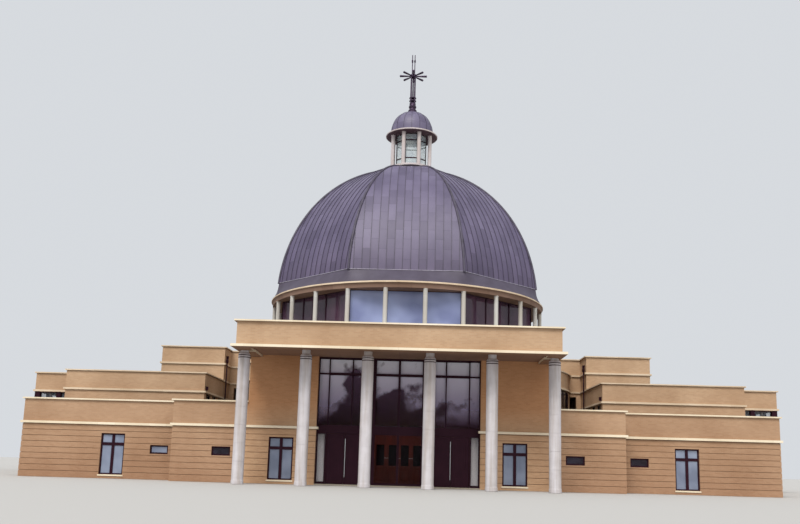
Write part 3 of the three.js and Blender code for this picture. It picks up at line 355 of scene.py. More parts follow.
def band_along(name, path, outer, inner, z0, z1):
    """A block stretched along the first stretch of the path, then extruded round each corner."""
    path = [Vector(corner) for corner in path]
    lines = mitred(path, outer), mitred(path, inner)
    piece = block(name, 0, 1000, 0, 1000, z0, z1)
    edit(piece)
    shape = bmesh.from_edit_mesh(piece.data)
    for vertex in shape.verts:
        place = lines[round(vertex.co.y / MM / 1000)][round(vertex.co.x / MM / 1000)]
        vertex.co.xy = place * MM
    for i in range(1, len(path) - 1):
        near = [line[i] * MM for line in lines]
        pick(lambda face: all(min((v.co.xy - a).length for a in near) < 1e-5 for v in face.verts))
        bpy.ops.mesh.extrude_region_move()
        shape = bmesh.from_edit_mesh(piece.data)
        for vertex in [v for v in shape.verts if v.select]:
            side = 0 if (vertex.co.xy - near[0]).length < 1e-5 else 1
            vertex.co.xy = lines[side][i + 1] * MM
    return done()


def cut_away(piece, cutter):
    select_only(piece)
    cut = piece.modifiers.new("cut", "BOOLEAN")
    cut.operation = "DIFFERENCE"
    cut.solver = "EXACT"
    cut.object = cutter
    bpy.ops.object.modifier_apply(modifier=cut.name)
    bpy.data.objects.remove(cutter)


def mirrored(path):
    return [(-x, y) for x, y in reversed(path)]


# Fired clay reads as a warm, dull, slightly gritty wall: each brick has its own tone, and the
# kiln and the weather leave soft patches across many of them.
BRICK = (225, 75, 10, 0.5)
CLAY = ("#C2A487", "#B99A7D", "#BDA892")
WEATHER = ("#E4DBD0", "#FFFDF8")
GRIT = (6, 3)
# The brick is darker towards the bottom of the walls
DARKER_LOW = (0, 7000, [(0.0, "#E0D1CB"), (1.0, "#FFFFFF")])
# Within the portico the front walls get painted light and shade: brighter low down than elsewhere,
# and a painted warm shade high up
PORTICO_PAINTED_LIGHT = (7900, [(0.42, "#FFF6EF"), (0.58, "#FFE3CB")])


def brickwork(name, run, middle_light=None):
    return laid(name, run, BRICK, CLAY, WEATHER, 0.9, GRIT, DARKER_LOW, None, middle_light)


buff_brick = brickwork("buff wire-cut brick in stretcher bond", along_straight_walls)
portico_brick_painted_light = brickwork("buff brick with painted light and warm shade in the portico", along_straight_walls, PORTICO_PAINTED_LIGHT)

# The raked joints: how many, the lowest's level, their distance apart, height and depth
GROOVES, LOWEST, APART, HIGH, DEEP = 9, 336, 300, 24, 30
# How far the walls' faces lie out: the middle front, wings, wings' sides, ends, ends' returns
MIDDLE, WING, FLANK, END, RETURN = 21430, 19810, 19740, 24640, 7400
FRONT_LINE = [(4140, -21150), (4140, -MIDDLE), (11410, -MIDDLE), (11410, -WING), (FLANK, -WING)]
STEP_LINE = [(21590, -10000), (21590, -RETURN), (END, -RETURN)]
REAR_LINE = [(FLANK, 9900), (FLANK, WING), (11410, WING), (11410, MIDDLE)]
step_back = [(x, -y) for x, y in reversed(STEP_LINE)]
END_LINE = [(19700, -10000), *STEP_LINE, *step_back, (19700, 10000)]
wall_lines = {"rear_wall": REAR_LINE + mirrored(REAR_LINE)}
for side, turn in (("right", list), ("left", mirrored)):
    wall_lines["front_wall_" + side] = turn([*FRONT_LINE, (FLANK, -9900)])
    wall_lines["transept_wall_" + side] = wall_lines["transept_end_wall_" + side] = turn(END_LINE)
# The raked joints' faces are darkened as painted shade
raked_mortar_painted_shade = mottled(
    "mortar in the raked joints, darkened as painted shade", 300, "#80654F", "#94785F", 0.95
)


def in_groove(face, mesh):
    """True for the back, top and bottom of a groove."""
    levels = [mesh.vertices[i].co.z / MM - LOWEST for i in face.vertices]
    near = all(abs((level + APART / 2) % APART - APART / 2) < HIGH for level in levels)
    return near and max(levels) - min(levels) < 2 * HIGH


for node, path in wall_lines.items():
    wall = copy_of(node)
    groove = band_along("groove", path, 20, -DEEP, LOWEST - HIGH / 2, LOWEST + HIGH / 2)
    lifts = [moved(0, 0, APART * i) for i in range(GROOVES)]
    cut_away(wall, join("grooves", placed(groove, *lifts)))
    clay = portico_brick_painted_light if node.startswith("front_wall") else buff_brick
    fix(wall, clay, [node])
    second_finish(wall, raked_mortar_painted_shade, lambda face: in_groove(face, wall.data))

fix(copy_of("portico_fascia"), buff_brick, ["portico_fascia"])

# The links' ends are drawn in by their movement joint, and meet the rotunda
LINK_END, LINK_JOINT = 12270, 158
for side, inwards in (("left", 1), ("right", -1)):
    wall = copy_of("upper_wall_" + side)
    edit(wall)
    pick(lambda vertex: -14 < vertex.co.xy.length / MM - LINK_END < 2, "verts")
    bpy.ops.transform.translate(value=(inwards * LINK_JOINT * MM, 0, 0))
    fix(done(), buff_brick, ["upper_wall_" + side])
for node, radius in (("rotunda_wall", 12130), ("drum_wall", 10200)):
    wall = copy_of(node)
    smooth(wall, 12)
    round_brick = brickwork("buff brick of the " + node.replace("_", " "), round_walls(radius))
    fix(wall, round_brick, [node])

# Stone strings and copings
# Cream cast stone in thin lengths, butted end to end: strings that stand out a little from the
# brick, a coping on each parapet, and a sloping sill under each tall window.

# The stone is smooth, pale and even; soot browns it on the upper tiers, and faces that look down
# are browned as painted shade
LENGTHS = (900, 4000, 6, 0.5)
CREAM = ("#F0E4D0", "#E6D9C2", "#C9B89C")
SOOTED = ("#DCCAB4", "#D0BCA4", "#B09C84")
STAINS = ("#E9E2D6", "#FFFFFC")
UNDERSIDE_PAINTED_SHADE = "#8A6C5A"


def stonework(name, run, tones, roughness=0.75, under=None, unit=LENGTHS):
    return laid(name, run, unit, tones, STAINS, roughness, (3, 0.8), None, under)


cast_stone = stonework(
    "cream cast stone in 900 mm lengths", along_straight_walls, CREAM, 0.75, UNDERSIDE_PAINTED_SHADE
)
high_stone = stonework(
    "cast stone of the upper tiers, browner with soot", along_straight_walls, SOOTED, 0.78, UNDERSIDE_PAINTED_SHADE
)
round_stone = stonework("cream cast stone of the rotunda", round_walls(12130), SOOTED, 0.78, UNDERSIDE_PAINTED_SHADE)
dress(cast_stone, "ground_string", "rear_coping", "portico_band", "portico_coping")
for side in ("left", "right"):
    dress(cast_stone, "wing_coping_" + side)
    for node in ("transept_string_", "transept_coping_", "upper_string_", "upper_coping_"):
        dress(high_stone, node + side)
for node in ("rotunda_string", "rotunda_coping"):
    ring = copy_of(node)
    smooth(ring, 12)
    fix(ring, round_stone, [node])

# The rotunda's string runs on round the corner of each link wall
INNER = 12650  # how far the upper tiers' faces to the middle lie from the dome's axis
LINK_LINE = [(11870, -2610), (INNER, -2610), (INNER, -4700)]
rear_line = [(x, -y) for x, y in reversed(LINK_LINE)]
link_lines = [LINK_LINE, rear_line, mirrored(LINK_LINE), mirrored(rear_line)]
strings = [band_along("link_string", line, 100, 2, 6506, 6626) for line in link_lines]
fix(join("link_strings", strings), high_stone)

# Every opening is given by its middle on the brick face and the way it faces, from the front
SIDES = (1, -1)


def on_end(side, y):
    return moved(side * END, y, 0, side * 90)


def on_return(side, end, x):
    return moved(side * x, end * RETURN, 0, 90 + 90 * end)


def on_inner(side, y, z=0):
    return moved(side * INNER, y, z, -side * 90)


TALL_PLACES, LOW_PLACES = [], []
for side in SIDES:
    for places, middles in ((TALL_PLACES, (5870, 14920)), (LOW_PLACES, (8880, 12470))):
        for x, y in zip(middles, (MIDDLE, WING)):
            places += [moved(side * x, -y), moved(side * x, y, 0, 180)]
    TALL_PLACES += [moved(side * FLANK, y, 0, side * 90) for y in (-17300, -12600, 12600, 17300)]
    TALL_PLACES += [on_end(side, y) for y in (-3600, 0, 3600)]


def before(y):
    """A test for the edges that lie in front of this line, in real millimetres."""
    return lambda edge: all(v.co.y < y * MM for v in edge.verts)


def bevelled(piece, width, segments=1, test=lambda edge: True):
    edit(piece)
    pick(test, "edges")
    bpy.ops.mesh.bevel(offset=width * MM, segments=segments, affect="EDGES")
    return done()


sill = block("sill", -665, 665, -35, 110, 120, 206)
edit(sill)
pick(lambda edge: all(v.co.y < -30 * MM and v.co.z > 200 * MM for v in edge.verts), "edges")
bpy.ops.transform.translate(value=(0, 0, -16 * MM))
fix_copies("window_sills", bevelled(sill, 8, 2, before(-30)), TALL_PLACES, cast_stone)

# Windows
# Aluminium frames with a dark aubergine powder coat, each made in one piece and set back in the
# brick, round panes of tinted float glass that mirror a pale sky, in part as painted reflection.

# The coat is nearly black with a red cast, and its orange peel blurs what it mirrors
powder_coat, tree = new_material("aubergine powder coat, fine orange peel")
shade = cloudy(tree, 700, "#1D0A13", "#28111B", span=(0.3, 0.75))
peel = rough(tree, 2, 1.0, 0.15, 0.2)
finish_with(
    tree, Base_Color=shade, Roughness=0.4, Specular_IOR_Level=0.25, Specular_Tint="#F0B8D0",
    Normal=peel,
)


def is_front(face):
    return face.normal.y < -0.9


def is_broad(face):
    """True for a front and for a back."""
    return abs(face.normal.y) > 0.9


def set_in(piece, *steps, test=is_front):
    """Insets the faces that pass the test by each (width, depth) in turn."""
    edit(piece)
    pick(test)
    for width, depth in steps:
        bpy.ops.mesh.inset(thickness=width * MM, depth=depth * MM, use_individual=True)
    return done()


def framed_lights(name, xs, zs, y0, y1, bar):
    """A block cut at its bars, with each light's two faces set in and bored through."""
    piece = block(name, xs[0], xs[-1], y0, y1, zs[0], zs[-1])
    edit(piece)
    cuts = [((x, 0, 0), (1, 0, 0)) for x in xs[1:-1]] + [((0, 0, z), (0, 0, 1)) for z in zs[1:-1]]
    for at, normal in cuts:
        select_all()
        bpy.ops.mesh.bisect(plane_co=Vector(at) * MM, plane_no=normal)
    pick(is_broad)
    bpy.ops.mesh.inset(thickness=bar * MM, use_individual=True)
    for x0, x1 in pairwise(xs):
        for z0, z1 in pairwise(zs):
            middle = Vector((x0 + x1, z0 + z1)) / 2 * MM
            pick(
                lambda face: is_broad(face)
                and (face.calc_center_median().xz - middle).length < 1e-4
            )
            bpy.ops.mesh.bridge_edge_loops()
    return done()


FRAME = (105, 195)  # the front and the back of a window's frame, behind the brick's face
tall = framed_lights("tall_window", (-625, 0, 625), (200, 1775, 2320), *FRAME, 76)
low = framed_lights("low_window", (-475, 475), (1320, 1770), *FRAME, 78)
fix_copies("tall_windows", tall, TALL_PLACES, powder_coat)
fix_copies("low_windows", low, LOW_PLACES, powder_coat)
PALE_PANE = 6  # the outer small window of the left wing, paler than the others
pane = set_in(block("low_pane", -415, 415, 112, 124, 1380, 1710), (14, -3))
low_panes = placed(pane, *LOW_PLACES)
pale_pane = low_panes.pop(PALE_PANE)
pale_pane.name = "pale_low_pane"

# Rows of high windows: where each starts and ends, its count, and its place on every wall
POST, HIGH_SILL, HIGH_BAR = 260, 4180, 48
high_windows = []
for first, last, count, spread in (
    (-7070, 7070, 8, lambda y: [on_end(side, y) for side in SIDES]),
    (21790, 24310, 2, lambda x: [on_return(side, end, x) for side in SIDES for end in SIDES]),
    (-9450, -2850, 4, lambda y: [on_inner(side, y) for side in SIDES]),
    (2850, 9450, 4, lambda y: [on_inner(side, y) for side in SIDES]),
):
    pitch = (last - first + POST) / count
    half = (pitch - POST) / 2
    light = framed_lights("high_window", (-half, half), (HIGH_SILL, 5284), *FRAME, HIGH_BAR)
    middles = [first + pitch * i + half for i in range(count)]
    high_windows += placed(light, *[place for middle in middles for place in spread(middle)])
fix(join("transept_high_windows", high_windows), powder_coat)

# Dark covers make slim posts of the piers in the end walls, so that each row reads as a ribbon
COVER = (4150, 5300)  # from below the sill to above the head
post = block("pier_cover", -140, 140, -8, 105, *COVER)
places = [on_end(side, 1800 * i) for side in SIDES for i in range(-3, 4)]
places += [on_return(side, end, 23050) for side in SIDES for end in SIDES]
corner = block("corner_cover", 24300, END + 8, -RETURN - 8, -7060, *COVER)
end = block("end_cover", 21592, 21800, -RETURN - 8, -7295, *COVER)
flips = [Matrix.Diagonal((x, y, 1, 1)) for x in SIDES for y in SIDES]
covers = placed(post, *places) + placed(join("covers", [corner, end]), *flips)
covers = bevelled(
    join("high_window_posts", covers), 6, 2,
    lambda edge: (edge.verts[0].co - edge.verts[1].co).xy.length < 1e-5,
)
fix(covers, powder_coat)

# The rotunda's 24 bays: none are glazed in front and behind, or where the links meet it
light = framed_lights("round_window", (-1350, 0, 1350), (HIGH_SILL, 6486), *FRAME, HIGH_BAR)
bays = enumerate(turned_round(24, 0, -12104, 7.5))
glazed = [bay for i, bay in bays if 2 < i < 21 and i not in (5, 6, 17, 18)]
fix_copies("rotunda_high_windows", light, glazed, powder_coat)


def tinted_glass(name, deep, pale, size, cover, gloss=0.5):
    """Float glass with a faint roller wave, and cloud as painted reflection in pale patches.

    cover is how much it hides of what lies behind, and gloss how strongly it mirrors the ground.
    """
    material, tree = new_material(name)
    painted_sky_reflection = cloudy(tree, size, deep, pale, 2.0, (0.35, 0.68))
    wave = rough(tree, 900, 0.0, 0.2, 4)
    finish_with(
        tree, Base_Color=painted_sky_reflection, Roughness=0.07, IOR=1.52, Specular_IOR_Level=gloss,
        Alpha=cover, Normal=wave,
    )
    return material


window_glass = tinted_glass("tinted glass with a painted reflection of pale sky", "#717A90", "#98A2B8", 1400, 0.85)
dress(window_glass, "front_glass_left", "front_glass_right", "rear_glass")
fix(pale_pane, window_glass)
dim_glass = tinted_glass(
    "dark tinted glass of the small windows", "#12060A", "#322C3A", 700, 0.92, 0.25
)
fix(join("low_window_panes", low_panes), dim_glass)
high_glass = tinted_glass(
    "lightly tinted glass of the high windows", "#4A525E", "#8A96A4", 1100, 0.2
)
dress(high_glass, "transept_glass_left", "transept_glass_right")
round_glass = tinted_glass("dark tinted glass of the rotunda", "#2A2530", "#4A4854", 1500, 0.8)
dress(round_glass, "rotunda_glass")

# Portico
# Six columns of turned precast drums on plain bases, with two dark rings under the narrowed
# neck; over them the soffit of the deep brick fascia, with its ceiling set up in a frame.


def turned(name, profile, sides, x=0, y=0):
    """A disc drawn up and scaled ring by ring along a profile of (radius, height)."""
    deselect_all()
    (reach, level), *rest = profile
    bpy.ops.mesh.primitive_circle_add(
        vertices=sides, radius=reach * MM, fill_type="NGON",
        location=(x * MM, y * MM, level * MM), rotation=(0, 0, math.pi / sides),
    )
    bpy.ops.object.transform_apply()
    bpy.context.object.name = name
    bpy.ops.object.mode_set(mode="EDIT")
    select_all()
    for next_reach, next_level in rest:
        rise = (next_level - level) * MM
        bpy.ops.mesh.extrude_region_move(TRANSFORM_OT_translate={"value": (0, 0, rise)})
        ratio = next_reach / reach
        centre = (x * MM, y * MM, next_level * MM)
        bpy.ops.transform.resize(value=(ratio, ratio, 1), center_override=centre)
        reach, level = next_reach, next_level
    if profile[0] == profile[-1]:
        pick(lambda face: len(face.verts) == sides and sides > 4)
        bpy.ops.mesh.delete(type="ONLY_FACE")
    piece = done()
    smooth(piece)
    return piece


def ring_of(name, profile, sides):
    """A turned piece that is open in the middle."""
    return turned(name, [*profile, profile[0]], sides)


# Precast concrete is matt and finely pored, with faint streaks where rain has run down
column_stone, tree = new_material("grey-beige precast concrete, lightly weathered")
body = cloudy(tree, 500, "#C0BBBE", "#CECACE")
down = add_node(tree, "Mapping", {"Vector": place_in(tree), "Scale": (9, 9, 0.5)})["Vector"]
streaked = cloudy(tree, 2000, "#E2DCD4", "#FFFFFF", span=(0.35, 0.6), vector=down, over=body)
finish_with(tree, Base_Color=streaked, Roughness=0.72, Normal=rough(tree, 8, 3.0, 0.4, 1.5))

COLUMN_PLACES = [moved(3000 * i - 7500, -23820) for i in range(6)]
profile = [(292, 0), (300, 8), (300, 176), (290, 190), (285, 196)]
for level in [1056 + 860 * i for i in range(5)]:
    profile += [(285, level - 10), (276, level - 6), (276, level + 6), (285, level + 10)]
profile += [(285, 5978), (285, 6170), (206, 6262), (202, 6290), (202, 6446)]
columns = placed(turned("column", profile, 64), *COLUMN_PLACES)
beam = bevelled(block("beam_over_columns", -7270, 7270, -24065, -23575, 6555, 6985), 15)
fix(join("portico_columns", [*columns, beam]), column_stone, ["portico_colonnade"])
for level in (5985, 6096):
    profile = [(287, level), (296, level + 8), (296, level + 34), (287, level + 42)]
    neck = turned("neck_ring", profile, 64)
    fix_copies(f"column_neck_rings_{level}", neck, COLUMN_PLACES, powder_coat)

# Smooth render looks flat and dull, with faint joints between its bays; its brown is darkened as
# painted shade
soffit_render_painted_shade = laid(
    "soffit render in bays, brown with painted shade", place_in, (3000, 3000, 14, 0.0),
    ("#866856", "#7F6251", "#664D3F"), ("#E2D8CC", "#FFFDFA"), 0.88, (4, 1.0),
)
dress(soffit_render_painted_shade, "portico_ceiling")

# Entrance
# A dark powder-coated screen glazed with grey-blue glass: tall lights above a dark spandrel,
# two pairs of flush doors with bright pull bars, and a fixed middle bay before a timber lobby.

SCREEN = -21150
dress(powder_coat, "entrance_screen")

# The glass is clear and dark low down; higher up its colour holds a painted reflection of sky,
# with dark patches of painted reflected trees
entrance_glass, tree = new_material("grey glass of the entrance, clearer low down")
at = add_node(tree, "SeparateXYZ", {0: place_in(tree)})
sockets = {"Value": at["Z"], "From Min": 2000 * MM, "From Max": 6400 * MM}
height = add_node(tree, "MapRange", sockets)["Result"]
sockets = {"Value": at["X"], "From Min": -4200 * MM, "From Max": 4200 * MM}
across = add_node(tree, "MapRange", sockets)["Result"]
stops = [(0.0, "#14090D"), (0.25, "#4E3049"), (0.45, "#A89EBC"), (1.0, "#F0F2FF")]
painted_sky_reflection = add_node(tree, "ValToRGB", {"Fac": height}, stops)["Color"]
# Where the painted reflection of trees thins out, across the screen
stops = [(0.06, "#FFFFFF"), (0.16, "#000000"), (0.6, "#000000"), (0.7, "#FFFFFF")]
clear = add_node(tree, "ValToRGB", {"Fac": across}, stops)["Color"]
sockets = {"Vector": place_in(tree), "Scale": 1 / (1300 * MM), "Detail": 7.0}
ragged = add_node(tree, "TexNoise", sockets)["Fac"]
for amount, share in ((clear, 0.17), (height, 0.5)):
    sockets = {0: amount, 1: share, 2: ragged}
    ragged = add_node(tree, "Math", sockets, operation="MULTIPLY_ADD")["Value"]
painted_sky_and_trees = stain_or_painted_light(tree, painted_sky_reflection, ragged, [(0.8, "#3A1730"), (0.9, "#FFFFFF")])
gloss, cover = [
    add_node(tree, "MapRange", {"Value": height, "To Min": 0.1, "To Max": most})["Result"]
    for most in (0.9, 0.94)
]
finish_with(
    tree, Base_Color=painted_sky_and_trees, Roughness=0.06, IOR=1.52, Specular_IOR_Level=gloss,
    Specular_Tint="#D8B4D0", Alpha=cover,
)
dress(entrance_glass, "entrance_glass")

# Glazing beads stand just in front of each light of the screen
beads = []
lights = [(xs, (151, 2580)) for xs in ((30, 1200), (3670, 4080))]
for xs in ((30, 1200), (1800, 2390), (2390, 3580)):
    lights += [(xs, (2980, 5560)), (xs, (5640, 6360))]
for xs, zs in lights:
    bead = framed_lights("bead", xs, zs, SCREEN - 12, SCREEN + 20, 26)
    beads += placed(bead, moved(0, 0), Matrix.Scale(-1, 4, (1, 0, 0)))
edit(join("entrance_beads", beads))
fix(done(), powder_coat)

# The fabric is soft and dull; its threads are drawn coarser than life, so that they show
THREAD = 10.5
fabric, tree = new_material("pale grey blind fabric, woven")
sockets = {"Vector": place_in(tree), "Scale": math.pi / 10 / (THREAD * MM)}
weave = add_node(tree, "TexWave", sockets, bands_direction="Z")
stops = [(0.0, "#F0EBEF"), (1.0, "#FFFCFF")]
shade = add_node(tree, "ValToRGB", {"Fac": weave["Fac"]}, stops)["Color"]
finish_with(tree, Base_Color=shade, Roughness=0.95)
slat = bevelled(block("slat", -32, 32, -3, 3, 165, 2560), 2)
places = [moved(side * (3705 + 62 * i), -20985, 0, side * 24) for side in SIDES for i in range(7)]
fix_copies("sidelight_blinds", slat, places, fabric)

# Brushing leaves fine bright lines up each bar
steel, tree = new_material("satin stainless steel, brushed lengthways")
up = add_node(tree, "Mapping", {"Vector": place_in(tree), "Scale": (40, 40, 1)})["Vector"]
brushed = cloudy(tree, 400, "#B9BCBF", "#DFE1E3", 6.0, vector=up)
finish_with(tree, Base_Color=brushed, Roughness=0.28, Metallic=1.0)

INWARDS = rotated(-90, "X")
for side, name in ((1, "right"), (-1, "left")):
    for leaf, x0, x1, pivot in (("outer", 2712, 3590, 3560), ("inner", 1820, 2698, 1850)):
        door = block("leaf", *sorted((side * x0, side * x1)), -21130, -21080, 74, 2566)
        door = set_in(door, (72, 0), (6, -5), (90, 0), (6, 4), test=is_broad)
        pin = turned("pin", [(10, 61), (12, 63), (12, 2577), (10, 2579)], 16, side * pivot, -21105)
        door = join(f"door_{leaf}_{name}_leaf", [door, pin])
        body = f"leaf_{leaf}_{name}"
        fix(door, powder_coat, [f"door_{leaf}_{name}"], body)
        if leaf == "inner":
            x = side * 2653
            grip = [(13, 420), (17, 424), (17, 2326), (13, 2330)]
            bar = turned("bar", grip, 24, x, -21205)
            arm = turned("arm", [(12, 0), (12, 72), (22, 72), (22, 76)], 20)
            arms = placed(arm, *[moved(x, -21205, z) @ INWARDS for z in (600, 2150)])
            fix(join(f"pull_bar_{name}", [bar, *arms]), steel, body=body)

# Oiled hardwood is dark and warm, with fine fibres up each leaf
timber, tree = new_material("red-brown hardwood, oiled, grain upright")
up = add_node(tree, "Mapping", {"Vector": place_in(tree), "Scale": (16, 16, 1)})["Vector"]
colour = cloudy(tree, 900, "#521608", "#782815", 6.0, vector=up)
fibres = rough(tree, 200 / 9, 4.0, 0.3, 0.6, vector=up)
finish_with(tree, Base_Color=colour, Roughness=0.45, Normal=fibres)

LEAVES = [moved(660 * i - 1650, 0) for i in range(6)]
beading = framed_lights("beading", (-250, 250), (1010, 2190), -18166, -18140, 40)
panel = set_in(block("panel", -240, 240, -18168, -18140, 260, 900), (35, -14), (30, 10))
parts = [*placed(beading, *LEAVES), *placed(panel, *LEAVES)]
fix(join("lobby_doors", [copy_of("lobby_screen"), *parts]), timber, ["lobby_screen"])
lobby_glass = tinted_glass("dark glass of the lobby doors", "#120A0E", "#20141A", 700, 0.95, 0.1)
pane = set_in(block("lobby_pane", -215, 215, -18128, -18116, 1045, 2155), (18, 3))
fix_copies("lobby_panes", pane, LEAVES, lobby_glass)
HANDLES = (-720, -600, -60, 60, 600, 720)
handle = turned("handle", [(9, 0), (11, 3), (11, 97), (9, 100)], 16)
parts = placed(handle, *[moved(x - 50, -18210, 1450) @ rotated(90, "Y") for x in HANDLES])
stem = turned("stem", [(8, 0), (8, 60)], 12)
parts += placed(stem, *[moved(x, -18210, 1450) @ INWARDS for x in HANDLES])
fix(join("lobby_handles", parts), steel)

# Drum
# A ring of slim stone columns on a low sill, with flat sheets of glass behind them that make an
# octagon, held in dark bars at its corners and at each third of a side, under a moulded cornice.

# This stone is greyer than that of the strings, and nearly plain
drum_stone = stonework(
    "grey-beige cast stone of the drum", round_walls(10000), ("#CECDCC", "#C3C1C0", "#9A9796")
)
profile = [(160, 9118), (160, 9170), (147, 9182), (145, 9190), (145, 12380), (147, 12388)]
profile += [(160, 12400), (160, 12449)]
posts = placed(turned("drum_column", profile, 32), *turned_round(24, 0, -9960, 7.5))
profile = [(10250, 9000), (10260, 9008), (10260, 9100), (10232, 9120), (8760, 9120), (8752, 9112)]
sill = ring_of("drum_sill", [*profile, (8752, 9000)], 96)
fix(join("drum_columns", [sill, *posts]), drum_stone, ["drum_colonnade"])

# The cornice: a deep cove, painted brown as shade, under a thin cream lip with a sloping top
soffit_stone_painted_shade = stonework(
    "stone of the cornice soffits, brown with painted shade", round_walls(10000),
    ("#856B5E", "#7A6053", "#5A473D"), 0.85,
)
LIP = 12768
profile = [(8752, 12450), (10110, 12450), (10112, 12550), (10120, 12630), (10140, 12700)]
profile += [(10172, 12745), (10206, LIP), (10219, 12778), (10219, 12850), (10208, 12862)]
cornice = ring_of("drum_cornice_moulding", [*profile, (10150, 12899), (8752, 12899)], 96)
fix(cornice, round_stone, ["drum_cornice"])
second_finish(cornice, soffit_stone_painted_shade, lambda face: face.center.z < LIP * MM)
# A thin ring under the cornice, painted dark as shade
profile = [(9000, 12446), (10106, 12446), (10106, 12449), (9000, 12449)]
fix(ring_of("drum_soffit", profile, 96), soffit_stone_painted_shade)

CORNER = math.radians(22.5)


def cage_bars(name, corner, levels, lights, depth, bar):
    """Bars round an octagon of glass: one frame of several lights, turned to all eight sides.

    Returns half a side's width, and where the side in front lies.
    """
    half = corner * math.sin(CORNER)
    face = -corner * math.cos(CORNER)
    xs = [half * (2 * i / lights - 1) for i in range(lights + 1)]
    side = framed_lights(name, xs, levels, face - depth, face + depth, bar)
    fix_copies(name, side, turned_round(8), powder_coat)
    return half, face


cage_bars("drum_bars", 9640, (9121, 12448), 3, 45, 42)
# Float glass is glossy; the pale sky on the front and rear sides and the dark look of the others
# are painted into its colour as painted reflection
drum_glass, tree = new_material("tinted glass of the drum, paler on the sides that mirror sky")
facing = add_node(tree, "SeparateXYZ", {0: place_in(tree, "Normal")})
front = add_node(tree, "Math", {0: facing["Y"]}, operation="ABSOLUTE")["Value"]
stops = [(0.75, "#5C4254"), (0.95, "#B4C0EA")]
body = add_node(tree, "ValToRGB", {"Fac": front}, stops)["Color"]
drift = cloudy(tree, 2600, "#C0C0CC", "#FFFFFF", 2.0, (0.35, 0.65), over=body)
finish_with(tree, Base_Color=drift, Roughness=0.07, IOR=1.52, Alpha=0.75)
dress(drum_glass, "drum_glass")

# Dome
# Milled lead on boards: long bays between upright welts that run straight up each face and die
# into the rolls on the eight hips, over a plain skirt with a drip at its head. The welts and rolls
# are darkened in part as painted shade, and the drip is pale as a painted highlight.

DOME = {"corner": 10050, "rise": 11150, "centre": 12590, "foot": 13800, "top": 23560, "steps": 40}
FLAT = math.cos(CORNER)  # how far a face's middle lies out, as a share of its corners
BAY = 540


def dome_curve(dome, share=1):
    """Points up a dome, as (reach, level); share is 1 on a hip, and FLAT up a face's middle."""
    ends = [(dome[end] - dome["centre"]) / dome["rise"] for end in ("foot", "top")]
    first, last = map(math.asin, ends)
    angles = [first + (last - first) * i / dome["steps"] for i in range(dome["steps"] + 1)]
    return [
        (share * dome["corner"] * math.cos(a), dome["centre"] + dome["rise"] * math.sin(a))
        for a in angles
    ]


def drawn_up(piece, curve):
    """Draws a piece's top face up a curve over the front, turning it as the curve leans in."""
    edit(piece)
    pick(lambda face: face.normal.z > 0.9)
    lean = 0
    for (reach, level), (next_reach, next_level) in pairwise(curve):
        step = ((reach - next_reach) * MM, (next_level - level) * MM)
        bpy.ops.mesh.extrude_region_move(TRANSFORM_OT_translate={"value": (0, *step)})
        tilt = math.atan2(*step)
        here = (0, -next_reach * MM, next_level * MM)
        bpy.ops.transform.rotate(value=tilt - lean, orient_axis="X", center_override=here)
        lean = tilt
    return done()


def lead_sheets(name, run, size):
    """Weathered lead: violet-grey sheets, no two alike, with a lap at each joint."""
    tones = ("#766F88", "#635C74", "#50495F")
    # The sheets are darker low down and paler towards the top
    paler_upwards = [(0.0, "#DCD2DC"), (0.25, "#EDE8F0"), (0.78, "#F2EFF4"), (0.84, "#FFFFFF")]
    stains = ("#CFCCD8", "#FFFFFF")
    return laid(name, run, size, tones, stains, 0.5, (60, 4), (13800, 23600, paler_upwards))


dome_lead = lead_sheets(
    "weathered lead in bays", lambda tree: place_in(tree, "UV"), (1500, BAY, 16, 0.5)
)
hip = dome_curve(DOME)
outside = [(reach + 12, level) for reach, level in hip]
inside = [(reach - 20, level) for reach, level in reversed(hip)]
cover = ring_of("dome_lead", outside + inside, 8)


def off_middle(turn):
    """How far an angle about the axis is from the middle of its side of the octagon."""
    return turn - round(turn / (2 * CORNER)) * 2 * CORNER


# The sheets are laid on the way up a hip, and across each face from its middle
climb = {round(hip[0][1]): 0}
for here, after in pairwise(hip):
    climb[round(after[1])] = climb[round(here[1])] + math.dist(here, after) * MM
sheets = cover.data.uv_layers.active or cover.data.uv_layers.new(name="sheets")
for face in cover.data.polygons:
    turn = math.atan2(face.center.x, -face.center.y)
    turn -= off_middle(turn)
    for loop in face.loop_indices:
        at = cover.data.vertices[cover.data.loops[loop].vertex_index].co
        across = at.x * math.cos(turn) + at.y * math.sin(turn) + BAY / 2 * MM
        sheets.data[loop].uv = (climb.get(round(at.z / MM), 0), across)
smooth(cover, 12)

# The skirt: a round ring whose upper edges are drawn out onto the octagon
skirt_lead = mottled(
    "weathered lead of the skirt, dull violet-grey", 900, "#423A4A", "#4E4758", 0.6
)
foot_reach = hip[0][0]
SKIRT_REACH, SKIRT_FOOT = 10148, 12901
rise = DOME["foot"] - SKIRT_FOOT
outside = [(SKIRT_REACH, SKIRT_FOOT + rise * i / 10) for i in range(11)]
inside = [(reach - 60, level) for reach, level in reversed(outside)]
skirt = ring_of("dome_skirt", outside + inside, 200)
for vertex in skirt.data.vertices:
    turn = off_middle(math.atan2(vertex.co.x, -vertex.co.y))
    octagon = (foot_reach + 8) * FLAT / math.cos(turn)
    share = (vertex.co.z / MM - SKIRT_FOOT) / rise
    vertex.co.xy *= 1 + share * (octagon / SKIRT_REACH - 1)
smooth(skirt, 30)
dome = join("dome_lead", [cover, skirt])
fix(dome, dome_lead, ["dome"])
second_finish(dome, skirt_lead, lambda face: face.center.z < (DOME["foot"] - 1) * MM)

